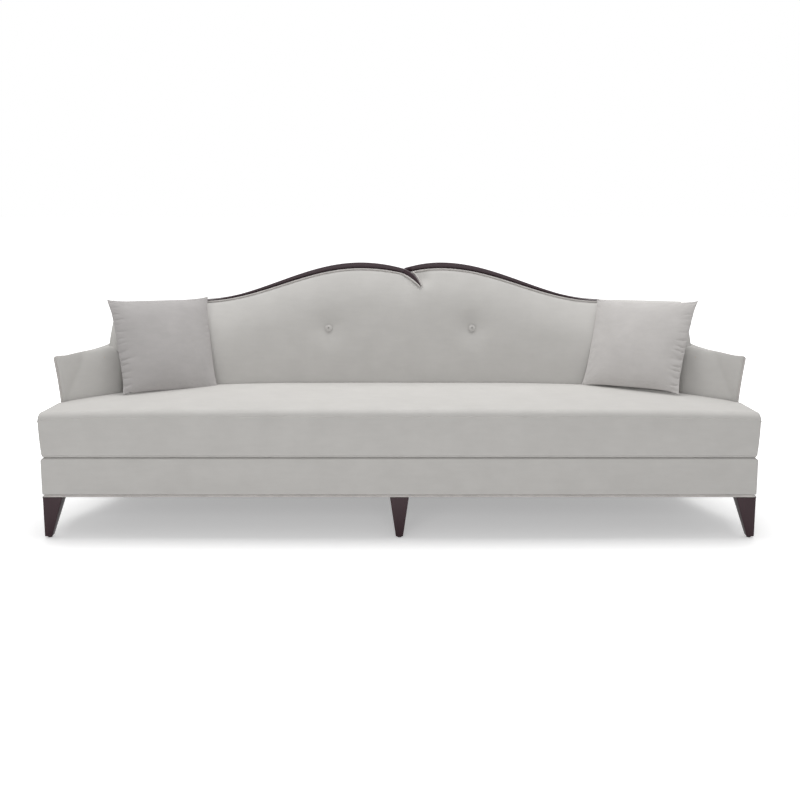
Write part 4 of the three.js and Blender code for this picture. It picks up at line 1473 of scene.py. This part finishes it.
@dataclass
class Pillow:
    """A square knife-edge pillow that leans in the curve of the back."""

    lines: SofaLines
    side: Side
    stuffing: Stuffing = Stuffing()
    front_swell: float = 0.040
    back_swell: float = 0.014
    ear: float = 0.018
    waist: float = 0.040
    pleat_pitch: float = 0.027
    pleat_length: float = 0.046
    pleat_depth: float = 0.0105
    inner_pleats: float = 0.14
    end_pleats: float = 0.35
    cells: tuple[int, int] = (64, 120)

    @property
    def resting(self) -> Resting:
        """How this side's pillow rests."""
        if self.side is Side.LEFT:
            return Resting(
                offset=0.961,
                depth=0.457,
                height=0.656,
                size=(0.397, 0.393),
                turn=29.2,
                lean=24.6,
                roll=1.4,
                pulls=((0.0056, -0.003), (-0.0066, -0.0055), (-0.0140, -0.003), (0.0028, -0.0136)),
            )
        return Resting(
            offset=0.967,
            depth=0.468,
            height=0.657,
            size=(0.402, 0.398),
            turn=30.0,
            lean=26.5,
            roll=1.2,
            pulls=((0.0200, -0.009), (0.0061, -0.018), (-0.0080, 0.001), (0.0, 0.0)),
        )

    def pleat(self, along: float, inwards: float, key: float) -> float:
        """How deep the cloth is gathered near a seam, in narrow folds across it.

        Args:
            along: How far along the seam, in metres.
            inwards: How far from the seam, in metres.
            key: Which seam it is, so that no two are folded the same way.

        Returns:
            The depth in metres.
        """
        side = self.side.value
        rough = noise.noise(Vector((along * 19, key, side)))
        reach = self.pleat_length * (1 + 0.7 * noise.noise(Vector((along * 43, key + 5, side))))
        slant = 0.5 * noise.noise(Vector((along * 15, key + 9, 0)))
        place = along + 0.016 * rough + slant * inwards
        fold = (1 - abs(math.sin(place * math.pi / self.pleat_pitch))) ** 2.2
        held = eased(inwards / 0.005) * (1 - eased((inwards - 0.004) / reach))
        return self.pleat_depth * fold * held * clamp(0.75 + 1.1 * rough, 0.15, 1.2)

    def local(self, u: float, v: float, face: int) -> Vector:
        """A point of the slack case, upright about its own middle.

        Args:
            u: -1 to 1 across, 1 at the outer edge.
            v: -1 to 1 upwards.
            face: -1 for the front, 1 for the back.

        Returns:
            The point, in X and Z with its swell in Y.
        """
        half_out, half_up = (size / 2 for size in self.resting.size)
        key = 3.7 * self.side.value + face
        full = ((1 - abs(u) ** 2.2) * (1 - abs(v) ** 2.2)) ** 0.6
        swell = self.back_swell if face > 0 else self.front_swell * (1 - 0.10 * v)
        dents = 0.0045 * noise.noise(Vector((u * 1.9, v * 1.9, key)))
        pleats = self.pleat(v * half_up, (1 - u) * half_out, key) * clamp(1.15 - 0.9 * max(v, 0))
        pleats += self.inner_pleats * self.pleat(v * half_up, (1 + u) * half_out, key + 20)
        pleats += self.end_pleats * self.pleat(u * half_out, (1 - abs(v)) * half_up, key + 40 * v)
        ear = 1 + self.ear * (abs(u) * abs(v)) ** 10
        waist_out = 1 - self.waist * (1 - abs(v) ** 4)
        waist_up = 1 - self.waist * (1 - abs(u) ** 4)
        rough = 0.0016 * noise.noise(Vector((v * 9, key, 0))) * eased((u - 0.85) / 0.15)
        pulled_out, pulled_up = self.resting.pulled(u, v)
        x = u * half_out * ear * waist_out + rough + pulled_out
        y = max(full * (swell + dents) - pleats, 0.0)
        return Vector((self.side.value * x, face * y, v * half_up * ear * waist_up + pulled_up))

    def sewn(self, point: Vector) -> float:
        """The seam holds the points of the case's edge, where its two panels meet."""
        across, up = self.resting.size
        outermost = max(abs(point.x) / across, abs(point.z) / up)
        return 1.0 if abs(point.y) < MERGE and outermost > 0.40 else 0.0

    def build(self) -> None:
        """Sews the case, fills it and puts it in its place."""
        halves = []
        for face in (-1, 1):

            def place(u: float, v: float, face: int = face) -> Vector:
                """Looks a point of this panel up, with finer cells near the sides."""
                return self.local(math.sin((u - 0.5) * math.pi), v * 2 - 1, face)

            halves.append(skin(*self.cells, place))
        bm = joined(halves)
        close(bm)
        if bm.calc_volume(signed=True) < 0:
            bmesh.ops.reverse_faces(bm, faces=bm.faces)
        bm = self.stuffing.swell(bm, self.sewn)
        rest = self.resting
        side = self.side.value
        roll = Matrix.Rotation(math.radians(-side * rest.roll), 4, "Y")
        lean = Matrix.Rotation(math.radians(-rest.lean), 4, "X")
        turn = Matrix.Rotation(math.radians(-side * rest.turn), 4, "Z")
        centre = self.lines.spot(side * rest.offset, rest.depth, rest.height)
        bmesh.ops.transform(bm, matrix=Matrix.Translation(centre) @ turn @ lean @ roll, verts=bm.verts)
        word = self.side.word
        tag = Tag(
            f"throw_pillow_{word}",
            # The left pillow takes the darker velvet: painted shade.
            PAINTED_SHADE_PILLOW_VELVET if self.side is Side.LEFT else PILLOW_VELVET,
            (f"pillow_{word}",),
            Body[f"PILLOW_{self.side.name}"],
            fill=0.75,
            crease=80,
            finer=1,
        )
        make_piece(bm, tag)


# Base


@dataclass(frozen=True)
class Cut:
    """A flat cloth: its inset from the outline, its two heights, its extent and its shown side."""

    inset: float
    low: float
    high: float
    begin: float
    end: float
    face_up: bool = True


@dataclass
class Base:
    """The upholstered base: its cover, the welt along its lower edge, deck and dust cover."""

    lines: SofaLines
    overhang: float = 0.002
    corner: float = 0.012
    shoulder: float = 0.017
    strip: float = 0.118
    deck_inset: float = 0.0141
    cover_lift: float = 0.0113
    cover_edge: float = 0.010
    welt_radius: float = 0.0055

    def outline(self) -> Ring:
        """The outline of the base in plan, counterclockwise from the middle of its front."""
        lines = self.lines
        half = lines.half_width - self.overhang
        right = [lines.spot(x, 0, 0) for x in spread(0, half - self.corner, 60)]
        for rise, run in quarter(6):
            right.append(lines.spot(half - self.corner * (1 - rise), self.corner * run, 0))
        cut = 0.006
        depths = spread(self.corner, lines.arm_front, 12)[1:]
        depths += spread(lines.arm_front, lines.rear_corner - cut, 40)[1:]
        right += [lines.spot(lines.outer_face(depth, 0), depth, 0) for depth in depths]
        for x in spread(lines.rear_half - cut, 0, 60):
            right.append(lines.spot(x, lines.rear_face(x, 0), 0))
        left = [Vector((-point.x, point.y, 0)) for point in right[1:-1]]
        return right + left[::-1]

    def dip(self, point: Vector) -> float:
        """How far the rounded front corners let the top edge down at a place in plan.

        Args:
            point: The place.

        Returns:
            The drop in metres.
        """
        start = self.lines.half_width - self.overhang - self.shoulder
        out = clamp((abs(point.x) - start) / self.shoulder)
        behind = eased((point.y - self.lines.front - 0.020) / 0.060)
        return drawn_in(self.shoulder, out) * (1 - behind)

    def around(self, profile: Sequence[Pair]) -> bmesh.types.BMesh:
        """Sweeps a section round the outline.

        Args:
            profile: The section's points, as how far inwards and how high they are.

        Returns:
            The closed mesh.
        """
        outline = self.outline()
        lid = max(z for _, z in profile)
        loops = []
        for inwards, z in profile:
            loop = []
            for point in offset_loop(outline, inwards):
                loop.append(Vector((point.x, point.y, min(z, lid - self.dip(point)))))
            loops.append(loop)
        return sleeve([[loop[i] for loop in loops] for i in range(len(outline))], looped=True)

    def sheet(self, cut: Cut, relief: Callable[[float, float], float]) -> bmesh.types.BMesh:
        """Cuts a cloth to the outline and lays it flat.

        Args:
            cut: Its place and its extent from front to rear.
            relief: How far its shown side lies below its height, from the share across and the
                depth behind the front edge.

        Returns:
            The closed mesh.
        """
        loop = offset_loop(self.outline(), cut.inset)
        far = max(point.x for point in loop) - 0.002
        rings = []
        for turn in spread(-math.pi / 2, math.pi / 2, 200):
            x = far * math.sin(turn)
            crossed = []
            for start, end in zip(loop, loop[1:] + loop[:1]):
                if (start.x - x) * (end.x - x) <= 0 and abs(end.x - start.x) > MERGE:
                    crossed.append(mix(start.y, end.y, (x - start.x) / (end.x - start.x)))
            front, rear = min(crossed), max(crossed)
            near = min(front + cut.begin, rear - 0.004)
            far_off = clamp(front + cut.end, near + 0.002, rear)
            ring = []
            for level, shares in ((cut.high, spread(0, 1, 60)), (cut.low, spread(1, 0, 60))):
                for share in shares:
                    shown = (level == cut.high) == cut.face_up
                    drop = relief(x / far, mix(near, far_off, share) - front) if shown else 0
                    drop *= eased(share / 0.03) * eased((1 - share) / 0.03)
                    ring.append(Vector((x, mix(near, far_off, share), level - drop)))
            rings.append(ring)
        return sleeve(rings)

    def deck_relief(self, across: float, back: float) -> float:
        """The decking cloth: the seam that joins it to the velvet front strip, and soft dips."""
        dips = 0.0012 * (1 - math.cos(across * 23 * math.pi)) / 2
        return 0.0035 * bump(abs(back - self.strip), 0.009) + dips * eased((back - self.strip) / 0.05)

    def dust_relief(self, across: float, back: float) -> float:
        """The dust cover sags a little between the rails that it is stapled to."""
        between = abs(math.sin(across * 2 * math.pi))
        return 0.0035 * between * eased((back - 0.09) / 0.08) * eased((0.52 - back) / 0.08)

    def no_relief(self, across: float, back: float) -> float:
        """The velvet front strip lies flat."""
        return 0.0

    def linings(self) -> None:
        """Makes the decking cloth under the cushion and the dust cover under the frame."""
        deck = Cut(self.deck_inset, low=0.2957, high=0.3058, begin=self.strip, end=1.0)
        band = Cut(self.deck_inset, low=0.3040, high=0.3059, begin=0.0, end=self.strip + 0.001)
        dust = Cut(inset=0.0123, low=0.1573, high=0.1585, begin=0.0, end=1.0, face_up=False)
        for cut, relief, tag in (
            (deck, self.deck_relief, Tag("seat_deck_cloth", DECK_CLOTH, ("seat_deck",), crease=60)),
            (band, self.no_relief, Tag("seat_front_band", VELVET, crease=60)),
            (dust, self.dust_relief, Tag("dust_cover_cloth", DUST_CLOTH, ("dust_cover",), crease=60)),
        ):
            make_piece(self.sheet(cut, relief), tag)

    def build(self) -> None:
        """Makes the cover, the welt and the linings."""
        self.linings()
        lines = self.lines
        low = lines.base_bottom + self.cover_lift
        high = lines.base_top - CLEARANCE
        corners = [(0.0, low, 0.002), (0.0, high, self.cover_edge), (COVER, high, 0.001), (COVER, low, 0.001)]
        sides = ("front", "right", "left", "rear")
        tag = Tag("base_upholstery", VELVET, tuple(f"base_cover_{side}" for side in sides), fill=0.3)
        make_piece(self.around(section(corners, 6, (16, 1, 1, 1))), tag)
        radius = self.welt_radius
        cord = []
        for turn in spread(0, 2 * math.pi, 12)[:-1]:
            height = lines.base_bottom + radius * (1 + math.sin(turn))
            cord.append((radius * (1 - math.cos(turn)), height))
        make_piece(self.around(cord), Tag("base_cord", WELT_VELVET, ("base_welt",)))


@dataclass
class Legs:
    """The six tapered legs under the base."""

    lines: SofaLines
    foot: float = 0.027
    wider_top: float = 0.009
    glide: float = 0.006
    bevel: float = 0.0025

    def leg(self, node: str, out: Pair) -> None:
        """Makes one leg from the box of its node.

        Args:
            node: The node's name.
            out: Which faces stay upright: 1 or -1 on an axis, 0 for a taper on both sides.
        """
        low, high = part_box(node)
        lid = self.lines.base_bottom - CLEARANCE
        bm = bmesh.new()
        bmesh.ops.create_cube(bm, size=1.0)
        for vert in bm.verts:
            upper = vert.co.z > 0
            spot = []
            for axis in (0, 1):
                wider = self.wider_top if axis == 0 and out[0] else 0.0
                size = high[axis] - low[axis] + wider if upper else self.foot
                middle = (high[axis] + low[axis]) / 2
                rim = high[axis] if out[axis] > 0 else low[axis]
                centre = middle if out[axis] == 0 else rim - out[axis] * size / 2
                spot.append(centre + vert.co[axis] * size)
            vert.co = Vector((*spot, lid if upper else self.glide))
        bmesh.ops.bevel(
            bm, geom=list(bm.edges), offset=self.bevel, segments=3, affect="EDGES", profile=0.5, material=-1
        )
        close(bm)
        make_piece(bm, Tag(f"tapered_{node}", LEG_WOOD, (node,), crease=35))

    def build(self) -> None:
        """Makes the six legs."""
        for row, back in (("front", -1), ("rear", 1)):
            for word, out in (("left", -1), ("centre", 0), ("right", 1)):
                self.leg(f"leg_{row}_{word}", (out, back))


@dataclass
class HiddenPieces:
    """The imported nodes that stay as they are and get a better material."""

    frame: dict

    def finish_of(self, name: str) -> Finish | None:
        """The finish of a carried node, or nothing where a piece stands for it.

        Args:
            name: The node's name.

        Returns:
            The finish, or None.
        """
        if self.frame["nodes"][name].hide_render:
            return None
        if "spring" in name:
            return STEEL
        if "glide" in name:
            return NYLON
        if "burlap" in name:
            return BURLAP
        return RAW_BEECH

    def build(self) -> None:
        """Puts the materials on."""
        for name, node in self.frame["nodes"].items():
            finish = self.finish_of(name)
            if finish is None:
                continue
            for holder in node.material_slots:
                holder.material = finish.material()
            LOG.info("%s keeps its shape, in %s", name, finish.name)


# Stage


@dataclass
class Studio:
    """The white floor, the soft lights and the camera."""

    lines: SofaLines
    camera_x: float = 0.027
    camera_depth: float = -3.400
    camera_height: float = 1.314
    pitch: float = 8.5
    focal_px: float = 959.7
    centre_px: Pair = (406.7, 323.4)
    frame_px: float = 800.0
    shadow_reach: Pair = (0.95, 3.04)
    shadow_shape: tuple[float, float, float] = (0.5, 2.2, 0.0)
    paper_lift: float = 0.34
    sky_light: float = 0.36
    lamp_aim: float = 0.4

    def seen(self, tree: bpy.types.NodeTree) -> bpy.types.NodeSocket:
        """Gives 1 for the rays that show the stage itself, and 0 for those that light the sofa.

        Args:
            tree: The node tree to add to.

        Returns:
            The socket with that value.
        """
        ray = add_node(tree, "ShaderNodeLightPath").outputs
        shown = ray["Is Camera Ray"]
        for other in ("Is Glossy Ray", "Is Transmission Ray"):
            pair = {0: shown, 1: ray[other]}
            shown = add_node(tree, "ShaderNodeMath", {"operation": "MAXIMUM"}, pair).outputs[0]
        return shown

    def floor(self) -> None:
        """Makes the floor, white to the camera wherever no shadow falls."""
        bm = bmesh.new()
        bmesh.ops.create_grid(bm, x_segments=4, y_segments=4, size=30.0)
        mesh = bpy.data.meshes.new("studio_floor")
        bm.to_mesh(mesh)
        bm.free()
        floor = bpy.data.objects.new("studio_floor", mesh)
        bpy.context.scene.collection.objects.link(floor)
        material, tree = new_material("white paper floor")
        place = add_node(tree, "ShaderNodeTexCoord").outputs["Object"]
        scaled = {0: place, 1: self.shadow_shape}
        around = add_node(tree, "ShaderNodeVectorMath", {"operation": "MULTIPLY"}, scaled)
        away = add_node(tree, "ShaderNodeVectorMath", {"operation": "LENGTH"}, {0: around.outputs[0]})
        # Far from the sofa the paper is white whatever light reaches it.
        near, far = self.shadow_reach
        reach = {"Value": away.outputs["Value"], "From Min": near, "From Max": far}
        bare = add_node(tree, "ShaderNodeMapRange", inputs={**reach, "To Min": self.paper_lift})
        product = {0: self.seen(tree), 1: bare.outputs["Result"]}
        lift = add_node(tree, "ShaderNodeMath", {"operation": "MULTIPLY"}, product)
        paper = add_node(tree, "ShaderNodeBsdfDiffuse", inputs={"Color": linear("#F0F0F0")})
        glows = {"Color": linear("#FFFFFF"), "Strength": lift.outputs[0]}
        glow = add_node(tree, "ShaderNodeEmission", inputs=glows)
        both = add_node(tree, "ShaderNodeAddShader", inputs={0: paper.outputs[0], 1: glow.outputs[0]})
        add_node(tree, "ShaderNodeOutputMaterial", inputs={"Surface": both.outputs[0]})
        mesh.materials.append(material)

    def sky(self) -> None:
        """Makes the world: white where it is seen, and a plain grey light elsewhere."""
        world = bpy.data.worlds.new("studio")
        world.use_nodes = True
        tree = world.node_tree
        tree.nodes.clear()
        levels = {"Value": self.seen(tree), "To Min": self.sky_light}
        strength = add_node(tree, "ShaderNodeMapRange", inputs=levels).outputs["Result"]
        white = {"Color": linear("#FFFFFF"), "Strength": strength}
        light = add_node(tree, "ShaderNodeBackground", inputs=white)
        add_node(tree, "ShaderNodeOutputWorld", inputs={"Surface": light.outputs[0]})
        bpy.context.scene.world = world

    def lamp(self, name: str, place: tuple[float, float, float], size: Pair, power: float) -> None:
        """Adds one soft box that looks at the sofa.

        Args:
            name: Its name.
            place: Where it hangs.
            size: Its width and height.
            power: Its power in watts.
        """
        light = bpy.data.lights.new(name, "AREA")
        light.shape = "RECTANGLE"
        light.size, light.size_y = size
        light.energy = power
        lamp = bpy.data.objects.new(name, light)
        bpy.context.scene.collection.objects.link(lamp)
        lamp.location = place
        towards = Vector((0, 0, self.lamp_aim)) - Vector(place)
        lamp.rotation_euler = towards.to_track_quat("-Z", "Y").to_euler()

    def camera(self) -> None:
        """Sets the camera where the photograph was taken from."""
        data = bpy.data.cameras.new("photograph")
        data.sensor_width = 36.0
        data.lens = self.focal_px / self.frame_px * data.sensor_width
        data.shift_x = (self.frame_px / 2 - self.centre_px[0]) / self.frame_px
        data.shift_y = (self.centre_px[1] - self.frame_px / 2) / self.frame_px
        camera = bpy.data.objects.new("photograph", data)
        bpy.context.scene.collection.objects.link(camera)
        camera.location = (self.camera_x, self.lines.front + self.camera_depth, self.camera_height)
        camera.rotation_euler = (math.radians(90 - self.pitch), 0, 0)
        bpy.context.scene.camera = camera

    def build(self) -> None:
        """Makes the whole stage."""
        bpy.context.scene.view_settings.view_transform = "Standard"
        self.floor()
        self.sky()
        self.lamp("overhead", place=(0.0, 0.9, 4.2), size=(6.0, 3.0), power=185)
        self.lamp("front", place=(-0.6, -6.0, 2.2), size=(5.0, 3.0), power=116)
        self.camera()


def main() -> None:
    """Builds the sofa's looks and its stage, and logs each piece's face count."""
    logging.basicConfig(level=logging.INFO, format="%(name)s: %(message)s")
    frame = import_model()
    lines = SofaLines(front=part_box("seat_cushion")[0].y)
    InsideBack(lines).build()
    CrestRails(lines).build()
    OutsideBack(lines).build()
    for side in Side:
        Arm(lines, side).build()
    SeatCushion(lines).build()
    for side in Side:
        Pillow(lines, side).build()
    Base(lines).build()
    Legs(lines).build()
    HiddenPieces(frame).build()
    Studio(lines).build()


if __name__ == "__main__":
    main()
